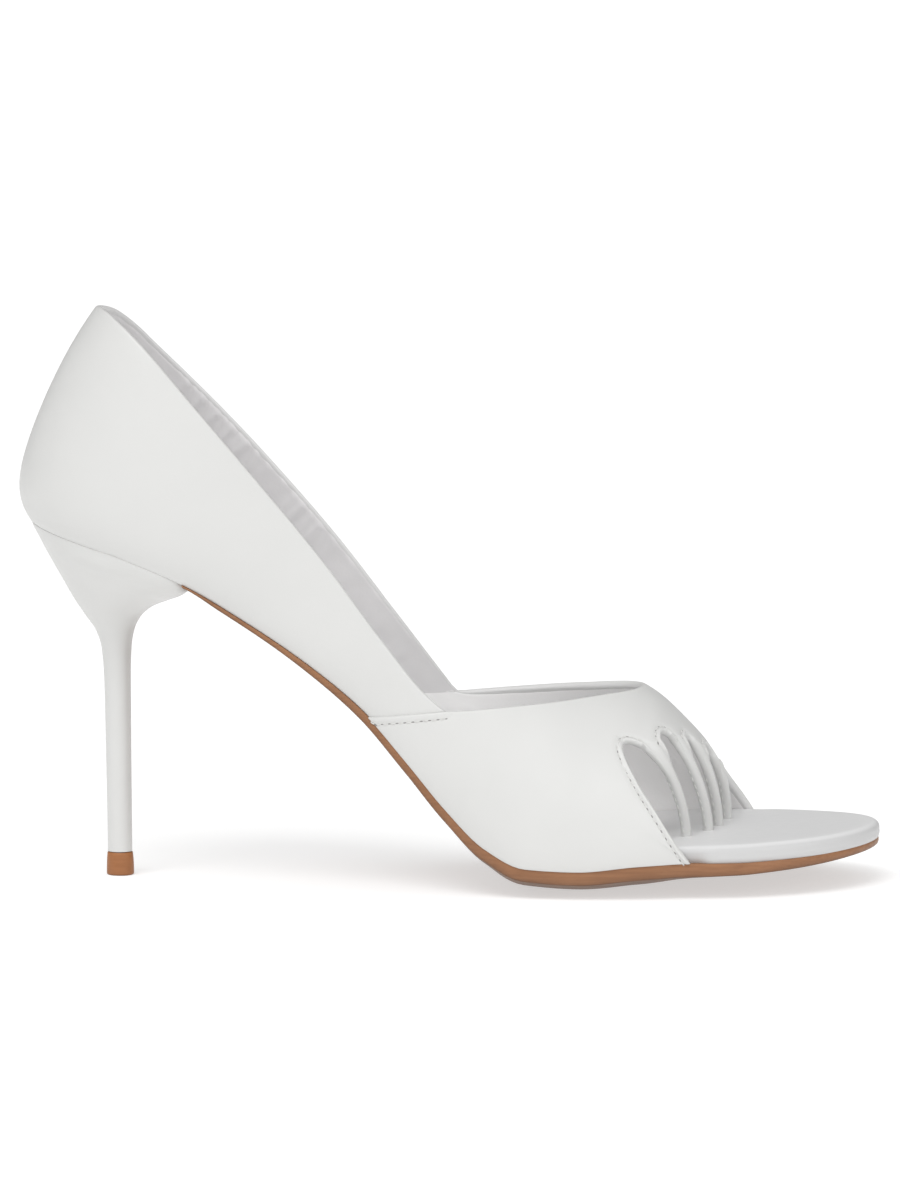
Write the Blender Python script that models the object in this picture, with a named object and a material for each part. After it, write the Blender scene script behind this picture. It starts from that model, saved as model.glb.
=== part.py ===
"""A slip-on sandal on a stiletto heel, for the right foot, as five separate pieces.

Upper, insole, outsole, heel and top piece are each one closed solid. The toe points along +X,
the lateral (outer) side is -Y and +Z is up. The origin lies on the floor, under the middle of
the shoe's length and width. Sizes below are in millimetres: stations run forward from the back
of the shoe, heights run up from the floor, and half-widths run out from the axis of the foot.
"""

import math

import bmesh
import bpy
import numpy as np

MM = 0.001

# Driving dimensions
SHOE_LENGTH = 222.0
ORIGIN_STATION = 110.65
ORIGIN_SIDE = -1.5
GAP = 0.3
QUARTER_WALL = 1.5
VAMP_WALL = 2.1
VAMP_STEP = 0.7

# The seat of the heel: an oval end with its own pitch, centred on one station
SEAT_CENTRE = 26.0
SEAT_BACK_REACH = 24.5
SEAT_PITCH = math.radians(17.0)

# The back curve swells out over the seat within a short rise and then leans in
BACK_BULGE = 7.7
BULGE_RISE = 5.5

# The forefoot of the sole ends in half an oval
TOE_START = 170.0
TOE_TIP_SIDE = 4.0

# Sections of the last. feather: height of the edge where upper meets sole; lateral, medial:
# half-widths there (None past the start of the toe oval, which gives them); girth: height of the
# crest over the feather edge; crest: how far the crest lies towards the medial side; fullness:
# exponent of the rounded section; bulge: swell of the wall; lean: forward tilt, in degrees
SECTION_COLUMNS = (
    "station", "feather", "lateral", "medial", "girth", "crest", "fullness", "bulge", "lean",
)
SECTIONS = (
    (26.0, 85.3, 24.0, 24.0, 81.0, 0.0, 2.3, 5.0, 17.0),
    (44.0, 77.8, 25.0, 23.5, 81.0, 0.0, 2.3, 4.5, 17.0),
    (60.0, 68.4, 25.0, 21.5, 79.0, 0.5, 2.3, 4.0, 15.0),
    (76.0, 57.6, 25.5, 20.5, 77.0, 1.0, 2.3, 3.4, 12.0),
    (90.0, 46.2, 27.0, 21.5, 75.0, 2.0, 2.2, 2.9, 8.0),
    (102.0, 33.0, 30.5, 24.5, 72.8, 3.0, 2.1, 2.4, 4.0),
    (112.0, 21.5, 34.0, 28.0, 69.7, 4.0, 2.0, 2.2, 1.0),
    (122.0, 12.2, 37.5, 31.5, 64.7, 5.0, 1.9, 2.2, 0.0),
    (132.0, 7.7, 40.0, 34.5, 58.2, 5.5, 1.9, 2.2, 0.0),
    (145.0, 7.2, 41.0, 37.0, 49.0, 6.0, 1.9, 2.2, 0.0),
    (160.0, 8.6, 40.5, 38.0, 41.1, 6.0, 1.9, 2.2, 0.0),
    (165.0, 8.9, 39.8, 38.0, 37.5, 6.0, 2.0, 2.2, 0.0),
    (170.0, 9.1, 38.5, 38.0, 32.6, 6.0, 2.0, 2.2, 0.0),
    (176.0, 9.2, None, None, 25.9, 6.0, 2.1, 2.2, 0.0),
    (181.0, 9.2, None, None, 18.9, 6.0, 2.1, 1.9, 0.0),
    (186.0, 9.2, None, None, 15.6, 6.0, 2.1, 1.7, 0.0),
    (192.0, 9.4, None, None, 12.6, 5.0, 2.2, 1.5, 0.0),
    (205.0, 10.0, None, None, 10.4, 5.0, 2.2, 1.0, 0.0),
    (222.0, 11.2, None, None, 8.2, 4.0, 2.2, 0.8, 0.0),
)

# The collar in side view, from the top of the back seam down to the side joints
COLLAR_COLUMNS = ("station", "lateral", "medial")
COLLAR = (
    (18.0, 148.8, 148.8),
    (22.0, 147.8, 147.2),
    (27.0, 144.6, 143.0),
    (32.0, 140.2, 137.8),
    (48.0, 122.3, 121.9),
    (63.0, 104.9, 106.2),
    (80.0, 84.3, 86.9),
    (95.0, 64.3, 67.2),
    (105.0, 52.2, 53.6),
    (111.0, 47.0, 45.4),
)

# The throat runs forward from the side joints to the crest of the vamp, rising a little
JOINT_STATION = 111.0
THROAT_CREST_STATION = 160.0
THROAT_CREST_HEIGHT = 49.6
# A column of the vamp ends on the throat at this share of its angle at the front edge
THROAT_SHARE = 0.5
SEAM_FOOT_STATION = 91.5

# The vamp's front edge down each side, from its corner at the sole over the outermost toe
# opening to the root of the nearest strap: control points of a curve, as stations and degrees
# round the last from its crest
LATERAL_CUT = ((173.6, 90.0), (162.4, 60.5), (148.8, 41.0), (160.8, 43.7))
MEDIAL_CUT = ((191.0, 90.0), (189.5, 62.0), (177.8, 28.0), (180.8, 10.2))

# The straps between the toes. root: degrees round the last from its crest (lateral negative)
# and the stations of the two edges where a strap leaves the vamp; crown: the same for the back
# of the toe opening on its medial side; foot: station and offset from the axis on the insole
STRAP_COLUMNS = (
    "root_angle", "near_station", "far_station",
    "crown_angle", "crown_station", "foot_station", "foot_side",
)
STRAPS = (
    (-40.5, 160.8, 165.8, -34.2, 165.5, 172.2, -17.0),
    (-26.0, 168.0, 171.8, -20.5, 171.6, 177.7, -7.0),
    (-13.5, 173.6, 176.8, -3.8, 176.5, 180.2, 2.0),
    (7.0, 178.8, 180.8, None, None, 182.3, 15.0),
)
STRAP_ROOT_HALF_ANGLE = 3.2
STRAP_WIDTH = 3.0
STRAP_THICKNESS = 2.6
STRAP_EDGE_SHARE = 0.5
STRAP_START_HANDLE = 0.3
STRAP_FOOT_HANDLE = 0.24

# Insole: thin inside the upper, thicker and round-edged where it shows under the toes
INSOLE_COLUMNS = ("station", "thickness", "edge_radius")
INSOLE = (
    (2.0, 2.5, 0.8),
    (110.0, 2.5, 0.8),
    (140.0, 3.2, 1.0),
    (165.0, 4.0, 1.8),
    (190.0, 4.6, 2.0),
    (222.0, 4.2, 2.0),
)
INSOLE_TOE_INSET = 0.5
INSOLE_TIP = SHOE_LENGTH - INSOLE_TOE_INSET
INSOLE_TIP_RADIUS = 2.2
INSOLE_SIDE_CLEARANCE = QUARTER_WALL + 1.5 * GAP
INSOLE_SWELL_SHARE = 0.45
INSOLE_FLARE_START = 1.2
INSOLE_FLARE_LENGTH = 4.5

# Outsole: the edge shows at its full thickness and the tread is crowned below it
OUTSOLE_START = 44.6
OUTSOLE_LEDGE = 0.4
OUTSOLE_TIP = SHOE_LENGTH
OUTSOLE_COLUMNS = ("station", "edge", "crown")
OUTSOLE = (
    (44.0, 1.0, 0.0),
    (60.0, 1.2, 0.0),
    (90.0, 2.1, 0.3),
    (112.0, 2.5, 1.4),
    (132.0, 3.3, 4.0),
    (145.0, 3.5, 4.2),
    (160.0, 3.6, 4.2),
    (176.0, 3.4, 2.6),
    (200.0, 2.7, 1.0),
    (222.0, 1.7, 0.3),
)
CROWN_POWER = 2.6

# Heel: a loft from the seat down to the stem. back, front: side-view ends of each section;
# half_width: half its breadth; squareness: exponent of its front half (2 is round)
HEEL_BREAST = 44.2
HEEL_COLUMNS = (
    "back_station", "back_height", "front_station", "front_height", "half_width", "squareness",
)
HEEL_SECTIONS = (
    (4.4, 88.6, 44.2, 75.9, 23.2, 9.0),
    (7.2, 83.2, 42.6, 74.2, 20.2, 6.0),
    (10.4, 77.4, 38.6, 72.4, 15.4, 4.0),
    (13.4, 72.0, 34.0, 70.4, 10.8, 3.0),
    (16.2, 67.8, 30.8, 67.8, 7.2, 2.5),
    (18.9, 63.8, 28.9, 64.2, 5.0, 2.2),
    (20.3, 59.4, 28.1, 59.6, 3.95, 2.0),
    (20.9, 52.0, 27.85, 52.0, 3.5, 2.0),
    (21.3, 32.0, 27.9, 32.0, 3.3, 2.0),
    (21.7, 6.2, 28.0, 6.2, 3.15, 2.0),
)
TOP_PIECE_SECTIONS = (
    (21.6, 5.9, 28.1, 5.9, 3.25, 2.0),
    (21.35, 0.4, 28.45, 0.4, 3.5, 2.0),
    (21.6, 0.0, 28.2, 0.0, 3.25, 2.0),
)

# Resolution
WALL_ROWS = 9
ROW_CROWDING = 1.5
SIDE_STEP = 4.5
HEEL_TURNS = 16
ARCH_STEPS = 12
CUT_STEPS = 13
STRAP_SPAN = 4
STRAP_RINGS = 8
SEAM_OFFSET = 0.4
HEEL_RING_POINTS = 36
SOLE_STEP = 4.0
SEAT_TURNS = 9
TOE_TURNS = 14

# Colours of the leathers and of the tan sole, as linear RGB
WHITE_LEATHER = (0.78, 0.78, 0.76)
PALE_INSOLE = (0.74, 0.74, 0.73)
TAN_SOLE = (0.40, 0.20, 0.095)
TAN_TOP_PIECE = (0.38, 0.18, 0.085)


def smooth_curve(xs, ys):
    """A smooth curve through the points that never overshoots them."""
    xs, ys = np.asarray(xs, float), np.asarray(ys, float)
    steps = np.diff(xs)
    slopes = np.diff(ys) / steps
    tangents = np.concatenate(([slopes[0]], np.zeros(len(xs) - 2), [slopes[-1]]))
    for i in range(1, len(xs) - 1):
        before, after = slopes[i - 1], slopes[i]
        if before * after > 0.0:
            weight_before = 2.0 * steps[i] + steps[i - 1]
            weight_after = steps[i] + 2.0 * steps[i - 1]
            total = weight_before + weight_after
            tangents[i] = total / (weight_before / before + weight_after / after)

    def value(x):
        x = min(max(x, xs[0]), xs[-1])
        i = int(min(max(np.searchsorted(xs, x) - 1, 0), len(steps) - 1))
        t = (x - xs[i]) / steps[i]
        start = (1.0 + 2.0 * t) * (1.0 - t) ** 2 * ys[i] + t * (1.0 - t) ** 2 * steps[i] * tangents[i]
        end = t * t * (3.0 - 2.0 * t) * ys[i + 1] + t * t * (t - 1.0) * steps[i] * tangents[i + 1]
        return float(start + end)

    return value


def curves_of(columns, rows):
    """One smooth curve over the station for each other named column of a table."""
    made = {}
    for i, name in enumerate(columns[1:], 1):
        filled = [(row[0], row[i]) for row in rows if row[i] is not None]
        made[name] = smooth_curve(*zip(*filled))
    return made


LAST = curves_of(SECTION_COLUMNS, SECTIONS)
COLLAR_LINE = curves_of(COLLAR_COLUMNS, COLLAR)
INSOLE_SHAPE = curves_of(INSOLE_COLUMNS, INSOLE)
OUTSOLE_SHAPE = curves_of(OUTSOLE_COLUMNS, OUTSOLE)


def blend(low, high, x):
    """0 below low, 1 above high and a smooth step between."""
    t = min(max((x - low) / (high - low), 0.0), 1.0)
    return t * t * (3.0 - 2.0 * t)


def solve(rising, low, high, rounds=48):
    """The place between low and high where a rising function passes zero."""
    for _ in range(rounds):
        middle = (low + high) / 2.0
        if rising(middle) < 0.0:
            low = middle
        else:
            high = middle
    return (low + high) / 2.0


def bezier(controls, t):
    """A point of the cubic Bezier curve with these four control points."""
    p = [np.asarray(c, float) for c in controls]
    s = 1.0 - t
    return s**3 * p[0] + 3.0 * s * s * t * p[1] + 3.0 * s * t * t * p[2] + t**3 * p[3]


# The last: outside surface of the upper


def outline(station, tip=SHOE_LENGTH, seat_inset=0.0):
    """(lateral, medial) offsets of the feather edge from the axis at a station, with the toe oval
    ending at a tip and the oval of the seat drawn in by an inset."""
    if station < SEAT_CENTRE:
        share = (SEAT_CENTRE - station) / (SEAT_BACK_REACH * math.cos(SEAT_PITCH) - seat_inset)
        reach = LAST["lateral"](SEAT_CENTRE) - seat_inset
        side = reach * math.sqrt(max(1.0 - share * share, 0.0))
        return -side, side
    if station > TOE_START:
        share = (station - TOE_START) / (tip - TOE_START)
        near = TOE_TIP_SIDE + LAST["lateral"](TOE_START)
        far = LAST["medial"](TOE_START) - TOE_TIP_SIDE
        close = math.sqrt(max(1.0 - share * share, 0.0))
        return TOE_TIP_SIDE - near * close, TOE_TIP_SIDE + far * close
    return -LAST["lateral"](station), LAST["medial"](station)


def last_point(station, turn, angle):
    """A point of the last. turn: -90 lateral, 0 straight back, 90 medial; angle: 90 at the feather
    edge and 0 at the crest. Between -90 and 90 degrees of turn the point lies round the heel."""
    girth = LAST["girth"](station)
    power = 2.0 / LAST["fullness"](station)
    rise = girth * max(math.cos(math.radians(angle)), 0.0) ** power
    close = max(math.sin(math.radians(angle)), 0.0) ** power
    swell = 1.0 - math.exp(-rise / BULGE_RISE)
    crest = LAST["crest"](station)
    lean = math.radians(LAST["lean"](station))
    lateral = turn < 0.0
    near, far = outline(station)
    reach = crest - near if lateral else far - crest
    across = (reach + LAST["bulge"](station) * swell) * close * math.sin(math.radians(turn))
    back = (SEAT_BACK_REACH + BACK_BULGE * swell) * close * math.cos(math.radians(turn))
    return np.array((
        station + rise * math.sin(lean) - back * math.cos(SEAT_PITCH),
        crest + across,
        LAST["feather"](station) + rise * math.cos(lean) + back * math.sin(SEAT_PITCH),
    ))


def skin(station, turn, angle):
    """As last_point, but a negative angle carries on over the crest to the other side."""
    return last_point(station, turn, angle) if angle >= 0.0 else last_point(station, -turn, -angle)


def skin_normal(station, turn, angle):
    """The outward normal of the last, from small steps along it."""
    small = 0.5
    over = skin(station, turn, angle - small) - skin(station, turn, angle + small)
    if abs(turn) < 90.0:
        along = skin(station, turn + small, angle) - skin(station, turn - small, angle)
    else:
        along = skin(station - small, turn, angle) - skin(station + small, turn, angle)
        along = along if turn < 0.0 else -along
    normal = np.cross(over, along)
    return normal / np.linalg.norm(normal)


def angle_at_height(station, turn, height):
    """The angle at which a section of the last reaches a height."""
    return solve(lambda a: height - last_point(station, turn, a)[2], 1.0, 90.0)


def collar_height(station, turn):
    """Height of the collar line, which differs a little from side to side."""
    medial_share = blend(-90.0, 90.0, turn)
    lateral_height = COLLAR_LINE["lateral"](station)
    medial_height = COLLAR_LINE["medial"](station)
    return (1.0 - medial_share) * lateral_height + medial_share * medial_height


def collar_angle(station, turn):
    """The angle at which a section of the last reaches the collar line."""

    def over_collar(angle):
        point = last_point(station, turn, angle)
        return collar_height(point[0], turn) - point[2]

    return solve(over_collar, 20.0, 90.0)


def throat_station(turn, angle):
    """The station at which a line round the last at this angle reaches the throat."""

    joint = collar_height(JOINT_STATION, turn)
    rise_per_mm = (THROAT_CREST_HEIGHT - joint) / (THROAT_CREST_STATION - JOINT_STATION)

    def under_throat(station):
        point = skin(station, turn, angle)
        return joint + rise_per_mm * (point[0] - JOINT_STATION) - point[2]

    return solve(under_throat, JOINT_STATION - 12.0, TOE_START)


# Columns of the upper: each runs from its lower or front edge up to the collar or throat


def column(turn, foot, top, vamp):
    """A column between two (station, angle) places on one side of the last."""
    return {"turn": turn, "foot": foot, "top": top, "vamp": vamp, "strap": None}


def heel_columns():
    """Columns round the back of the heel, from the lateral to the medial side."""
    made = []
    for i in range(1, HEEL_TURNS):
        turn = -90.0 + 180.0 * i / HEEL_TURNS
        made.append(column(turn, (SEAT_CENTRE, 90.0), (SEAT_CENTRE, collar_angle(SEAT_CENTRE, turn)), False))
    return made


def quarter_columns(turn):
    """Columns of one side of the quarter, from the heel forward to the side seam."""
    joint_angle = angle_at_height(JOINT_STATION, turn, collar_height(JOINT_STATION, turn))
    count = round((SEAM_FOOT_STATION - SEAT_CENTRE) / SIDE_STEP)
    made = []
    for i in range(count + 1):
        share = i / count
        foot = SEAT_CENTRE + share * (SEAM_FOOT_STATION - SEAT_CENTRE)
        top = SEAT_CENTRE + share * (JOINT_STATION - SEAT_CENTRE)
        angle = joint_angle if i == count else collar_angle(top, turn)
        made.append(column(turn, (foot, 90.0), (top, angle), False))
    return made


def vamp_side_columns(turn, corner_station):
    """Columns of one side of the vamp, from the side seam forward to its front corner."""
    joint_angle = angle_at_height(JOINT_STATION, turn, collar_height(JOINT_STATION, turn))
    corner_top = 90.0 * THROAT_SHARE
    start = SEAM_FOOT_STATION + SEAM_OFFSET
    count = round((corner_station - start) / SIDE_STEP)
    made = []
    for i in range(count):
        share = i / count
        angle = joint_angle + share * (corner_top - joint_angle)
        top = max(throat_station(turn, angle), JOINT_STATION) + (SEAM_OFFSET if i == 0 else 0.0)
        made.append(column(turn, (start + share * (corner_station - start), 90.0), (top, angle), True))
    return made


def front_column(turn, station, angle):
    """A column from a place on the vamp's front edge back to the throat."""
    top_angle = angle * THROAT_SHARE
    return column(turn, (station, angle), (throat_station(turn, top_angle), top_angle), True)


def cut_columns(turn, controls):
    """Columns up one side cut of the vamp, from its corner to just short of the nearest strap."""
    places = [bezier(controls, i / CUT_STEPS) for i in range(CUT_STEPS)]
    return [front_column(turn, station, angle) for station, angle in places]


def signed_place(station, angle):
    """A front-edge place from an angle that is negative on the lateral side."""
    return (-90.0, station, -angle) if angle < 0.0 else (90.0, station, angle)


def quarter_arch(start, end, rising):
    """Places along a quarter oval between two (angle, station) points, without its ends."""
    places = []
    for i in range(1, ARCH_STEPS // 2):
        turn = math.pi / 2.0 * i / (ARCH_STEPS // 2)
        across = 1.0 - math.cos(turn) if rising else math.sin(turn)
        along = math.sin(turn) if rising else 1.0 - math.cos(turn)
        places.append((start[0] + across * (end[0] - start[0]), start[1] + along * (end[1] - start[1])))
    return places


def front_columns():
    """Columns along the whole front edge, from the lateral to the medial corner. Those of a strap
    carry its number, and toe openings lie between the straps."""
    made = cut_columns(-90.0, LATERAL_CUT)
    crown = None
    for number, row in enumerate(STRAPS):
        strap = dict(zip(STRAP_COLUMNS, row))
        near = (strap["root_angle"] - STRAP_ROOT_HALF_ANGLE, strap["near_station"])
        far = (strap["root_angle"] + STRAP_ROOT_HALF_ANGLE, strap["far_station"])
        if crown:
            made += [front_column(*signed_place(s, a)) for a, s in quarter_arch(crown, near, False)]
        for i in range(STRAP_SPAN + 1):
            angle = near[0] + (far[0] - near[0]) * i / STRAP_SPAN
            station = near[1] + (far[1] - near[1]) * i / STRAP_SPAN
            made.append(front_column(*signed_place(station, angle)))
            made[-1]["strap"] = number
        if strap["crown_angle"] is not None:
            crown = (strap["crown_angle"], strap["crown_station"])
            made += [front_column(*signed_place(s, a)) for a, s in quarter_arch(far, crown, True)]
            made.append(front_column(*signed_place(crown[1], crown[0])))
    return made + cut_columns(90.0, MEDIAL_CUT)[::-1]


def upper_columns():
    """All columns in one loop: round the lateral side, the heel, the medial side and the front."""
    lateral = vamp_side_columns(-90.0, LATERAL_CUT[0][0])
    medial = vamp_side_columns(90.0, MEDIAL_CUT[0][0])
    made = list(reversed(lateral)) + list(reversed(quarter_columns(-90.0)))
    made += heel_columns() + quarter_columns(90.0) + medial
    return made + list(reversed(front_columns()))


def column_points(col):
    """Outer and inner points of a column, from foot to top."""
    outer, inner = [], []
    for row in range(WALL_ROWS + 1):
        share = (row / WALL_ROWS) ** ROW_CROWDING
        station = col["foot"][0] + share * (col["top"][0] - col["foot"][0])
        angle = col["foot"][1] + share * (col["top"][1] - col["foot"][1])
        point = skin(station, col["turn"], angle)
        normal = skin_normal(station, col["turn"], angle)
        if angle == 90.0:
            normal[2] = 0.0
            normal /= np.linalg.norm(normal)
        wall = VAMP_WALL if col["vamp"] else QUARTER_WALL
        step = VAMP_STEP if col["vamp"] else 0.0
        outer.append(point + step * normal)
        inner.append(point + (step - wall) * normal)
    return outer, inner


# Mesh helpers


def world(point):
    """A point of the shoe's own frame, in metres from the origin."""
    return (
        (point[0] - ORIGIN_STATION) * MM,
        (point[1] - ORIGIN_SIDE) * MM,
        point[2] * MM,
    )


def make_material(name, colour, roughness):
    material = bpy.data.materials.new(name)
    material.use_nodes = True
    shader = material.node_tree.nodes["Principled BSDF"]
    shader.inputs["Base Color"].default_value = (*colour, 1.0)
    shader.inputs["Roughness"].default_value = roughness
    shader.inputs["Metallic"].default_value = 0.0
    return material


def make_object(name, bm, material, smooth_degrees=40.0):
    """A named object from a bmesh, with its faces turned out and shaded smooth."""
    bmesh.ops.recalc_face_normals(bm, faces=bm.faces)
    mesh = bpy.data.meshes.new(name)
    bm.to_mesh(mesh)
    bm.free()
    mesh.shade_smooth()
    mesh.set_sharp_from_angle(angle=math.radians(smooth_degrees))
    mesh.materials.append(material)
    obj = bpy.data.objects.new(name, mesh)
    bpy.context.scene.collection.objects.link(obj)
    return obj


def add_ring(bm, points):
    return [bm.verts.new(world(p)) for p in points]


def bridge(bm, first, second, closed):
    """Quads between two rows of as many vertices."""
    count = len(first)
    for i in range(count if closed else count - 1):
        k = (i + 1) % count
        bm.faces.new((first[i], first[k], second[k], second[i]))


# Upper


def strap_rings(number, root_outer, root_inner):
    """Outer and inner rows of points down a strap, from just past its root to its foot."""
    strap = dict(zip(STRAP_COLUMNS, STRAPS[number]))
    root = (sum(root_outer) + sum(root_inner)) / (2.0 * len(root_outer))
    root_across = root_outer[-1] - root_outer[0]
    root_width = np.linalg.norm(root_across)
    foot_height = insole_top(strap["foot_station"]) + GAP
    foot = np.array((strap["foot_station"], strap["foot_side"], foot_height))
    length = np.linalg.norm(foot - root)
    root_station = (strap["near_station"] + strap["far_station"]) / 2.0
    turn, station, angle = signed_place(root_station, strap["root_angle"])
    down = skin(station + 1.0, turn, angle) - skin(station, turn, angle)
    down = down / np.linalg.norm(down) + (foot - root) / length
    down /= np.linalg.norm(down)
    controls = (
        root,
        root + down * length * STRAP_START_HANDLE,
        foot + np.array((0.0, 0.0, length * STRAP_FOOT_HANDLE)),
        foot,
    )
    rows = []
    for ring in range(1, STRAP_RINGS + 1):
        t = ring / STRAP_RINGS
        centre = bezier(controls, t)
        tangent = bezier(controls, min(t + 0.02, 1.0)) - bezier(controls, t - 0.02)
        if ring == STRAP_RINGS:
            tangent = np.array((0.0, 0.0, -1.0))
        across = (1.0 - t) * root_across / root_width + t * np.array((0.0, 1.0, 0.0)) * -1.0
        normal = np.cross(across, tangent)
        normal /= np.linalg.norm(normal)
        across = np.cross(tangent, normal)
        across /= np.linalg.norm(across)
        settle = blend(0.0, 0.4, t)
        half_width = ((1.0 - settle) * root_width + settle * STRAP_WIDTH) / 2.0
        half_thick = ((1.0 - settle) * VAMP_WALL + settle * STRAP_THICKNESS) / 2.0
        outer, inner = [], []
        for k in range(STRAP_SPAN + 1):
            round_turn = math.pi * k / STRAP_SPAN
            even = 2.0 * k / STRAP_SPAN - 1.0
            aside = (1.0 - settle) * even - settle * math.cos(round_turn)
            rim = STRAP_EDGE_SHARE + (1.0 - STRAP_EDGE_SHARE) * math.sin(round_turn)
            proud = half_thick * ((1.0 - settle) + settle * rim)
            outer.append(centre + across * half_width * aside + normal * proud)
            inner.append(centre + across * half_width * aside - normal * proud)
        rows.append((outer, inner))
    return rows


def add_strap(bm, columns, outer, inner, number):
    """Fuses a strap to the vamp's front edge along its root columns."""
    picks = [i for i, col in enumerate(columns) if col["strap"] == number]
    last_outer = [outer[i][0] for i in picks]
    last_inner = [inner[i][0] for i in picks]
    points = [np.array(v.co) / MM for v in last_outer + last_inner]
    points = [p + np.array((ORIGIN_STATION, ORIGIN_SIDE, 0.0)) for p in points]
    span = len(picks)
    for row_outer, row_inner in strap_rings(number, points[:span], points[span:]):
        next_outer, next_inner = add_ring(bm, row_outer), add_ring(bm, row_inner)
        bridge(bm, last_outer + last_inner[::-1], next_outer + next_inner[::-1], True)
        last_outer, last_inner = next_outer, next_inner
    bridge(bm, last_outer, last_inner, False)


def make_upper(material):
    """Vamp, quarter and the straps between the toes: one wall, open at collar, throat, toes and sole."""
    columns = upper_columns()
    bm = bmesh.new()
    outer, inner = [], []
    for col in columns:
        outside, inside = column_points(col)
        outer.append(add_ring(bm, outside))
        inner.append(add_ring(bm, inside))
    count = len(columns)
    for i in range(count):
        k = (i + 1) % count
        bridge(bm, outer[i], outer[k], False)
        bridge(bm, inner[k], inner[i], False)
        bm.faces.new((outer[i][-1], outer[k][-1], inner[k][-1], inner[i][-1]))
        in_strap = columns[i]["strap"] is not None and columns[i]["strap"] == columns[k]["strap"]
        if not in_strap:
            bm.faces.new((outer[k][0], outer[i][0], inner[i][0], inner[k][0]))
    for number in range(len(STRAPS)):
        add_strap(bm, columns, outer, inner, number)
    return make_object("upper", bm, material)


# Sole pieces


def feather(station):
    """Height of the feather edge, with the seat's own pitch behind its centre."""
    if station < SEAT_CENTRE:
        return LAST["feather"](SEAT_CENTRE) + (SEAT_CENTRE - station) * math.tan(SEAT_PITCH)
    return LAST["feather"](station)


def slope_stretch(station):
    """How much taller a layer is measured upright than square to the sloping sole."""
    rise = feather(station + 1.0) - feather(station - 1.0)
    return math.hypot(2.0, rise) / 2.0


def insole_top(station):
    return feather(station) + INSOLE_SHAPE["thickness"](station) * slope_stretch(station)


def seat_stations(inset, last_turn=82.0):
    """Stations round the oval end of the seat, drawn in by an inset, from its back to its centre."""
    back = SEAT_BACK_REACH * math.cos(SEAT_PITCH) - inset
    turns = [last_turn * (1.0 - i / SEAT_TURNS) for i in range(SEAT_TURNS)]
    return [SEAT_CENTRE - back * math.sin(math.radians(t)) for t in turns]


def toe_stations(tip, last_turn=87.5):
    """Stations round the oval toe, from where it starts to its tip."""
    turns = [last_turn * i / TOE_TURNS for i in range(TOE_TURNS + 1)]
    return [TOE_START + (tip - TOE_START) * math.sin(math.radians(t)) for t in turns]


def even_stations(start, end, step):
    """Evenly spaced stations from start up to, but without, end."""
    count = max(round((end - start) / step), 1)
    return [start + (end - start) * i / count for i in range(count)]


def loft(name, rings, material):
    """A closed solid through rings of points, with flat ends."""
    bm = bmesh.new()
    rows = [add_ring(bm, ring) for ring in rings]
    for first, second in zip(rows, rows[1:]):
        bridge(bm, first, second, True)
    for end in (rows[0], rows[-1]):
        half = len(end) // 2
        bridge(bm, end[:half], end[::-1][:half], False)
    return make_object(name, bm, material)


def tip_drop(station):
    """How far the top of the insole rounds down near its tip."""
    into = min(max(1.0 - (INSOLE_TIP - station) / INSOLE_TIP_RADIUS, 0.0), 1.0)
    return INSOLE_TIP_RADIUS * (1.0 - math.sqrt(1.0 - into * into))


def insole_sides(station, clearance, flare_lateral, flare_medial):
    """Lateral and medial edges of the insole: clear of the wall, and out to the sole's edge where
    it flares past the wall."""
    if station < SEAT_CENTRE:
        return outline(station, INSOLE_TIP, clearance)
    lateral, medial = outline(station, INSOLE_TIP)
    spare = clearance - INSOLE_TOE_INSET
    return lateral + clearance - spare * flare_lateral, medial - clearance + spare * flare_medial


def insole_ring(station):
    """A section of the insole, over its top from lateral to medial and back underneath."""
    past_lateral = station - LATERAL_CUT[0][0] - INSOLE_FLARE_START
    past_medial = station - MEDIAL_CUT[0][0] - INSOLE_FLARE_START
    flare_lateral = blend(0.0, INSOLE_FLARE_LENGTH, past_lateral)
    flare_medial = blend(0.0, INSOLE_FLARE_LENGTH, past_medial)
    lateral, medial = insole_sides(station, INSOLE_SIDE_CLEARANCE, flare_lateral, flare_medial)
    bottom, top = feather(station), insole_top(station) - tip_drop(station)
    radius = min(INSOLE_SHAPE["edge_radius"](station), (medial - lateral) / 4.0)
    under = [
        (station, medial + share * (lateral - medial), bottom)
        for share in (0.0, 0.06, 0.12, 0.3, 0.7, 0.88, 0.94, 1.0)
    ]
    thickness = INSOLE_SHAPE["thickness"](station)
    swell = LAST["bulge"](max(station, SEAT_CENTRE)) * (1.0 - math.exp(-thickness / BULGE_RISE))
    clearance = INSOLE_SIDE_CLEARANCE - INSOLE_SWELL_SHARE * swell
    lateral, medial = insole_sides(station, clearance, flare_lateral, flare_medial)
    over = []
    for side, edge in ((1.0, lateral), (-1.0, medial)):
        corner = []
        for degrees in (0.0, 30.0, 60.0, 90.0):
            a = math.radians(degrees)
            inward = edge + side * radius * (1.0 - math.cos(a))
            corner.append((station, inward, top - radius * (1.0 - math.sin(a))))
        over += corner if side > 0.0 else corner[::-1]
    return over + under


def make_insole(material):
    """The footbed: inside the upper from the heel, and in the open under the toes."""
    stations = seat_stations(INSOLE_SIDE_CLEARANCE)
    stations += even_stations(SEAT_CENTRE, TOE_START, SOLE_STEP) + toe_stations(INSOLE_TIP)
    return loft("insole", [insole_ring(s) for s in stations], material)


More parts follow.
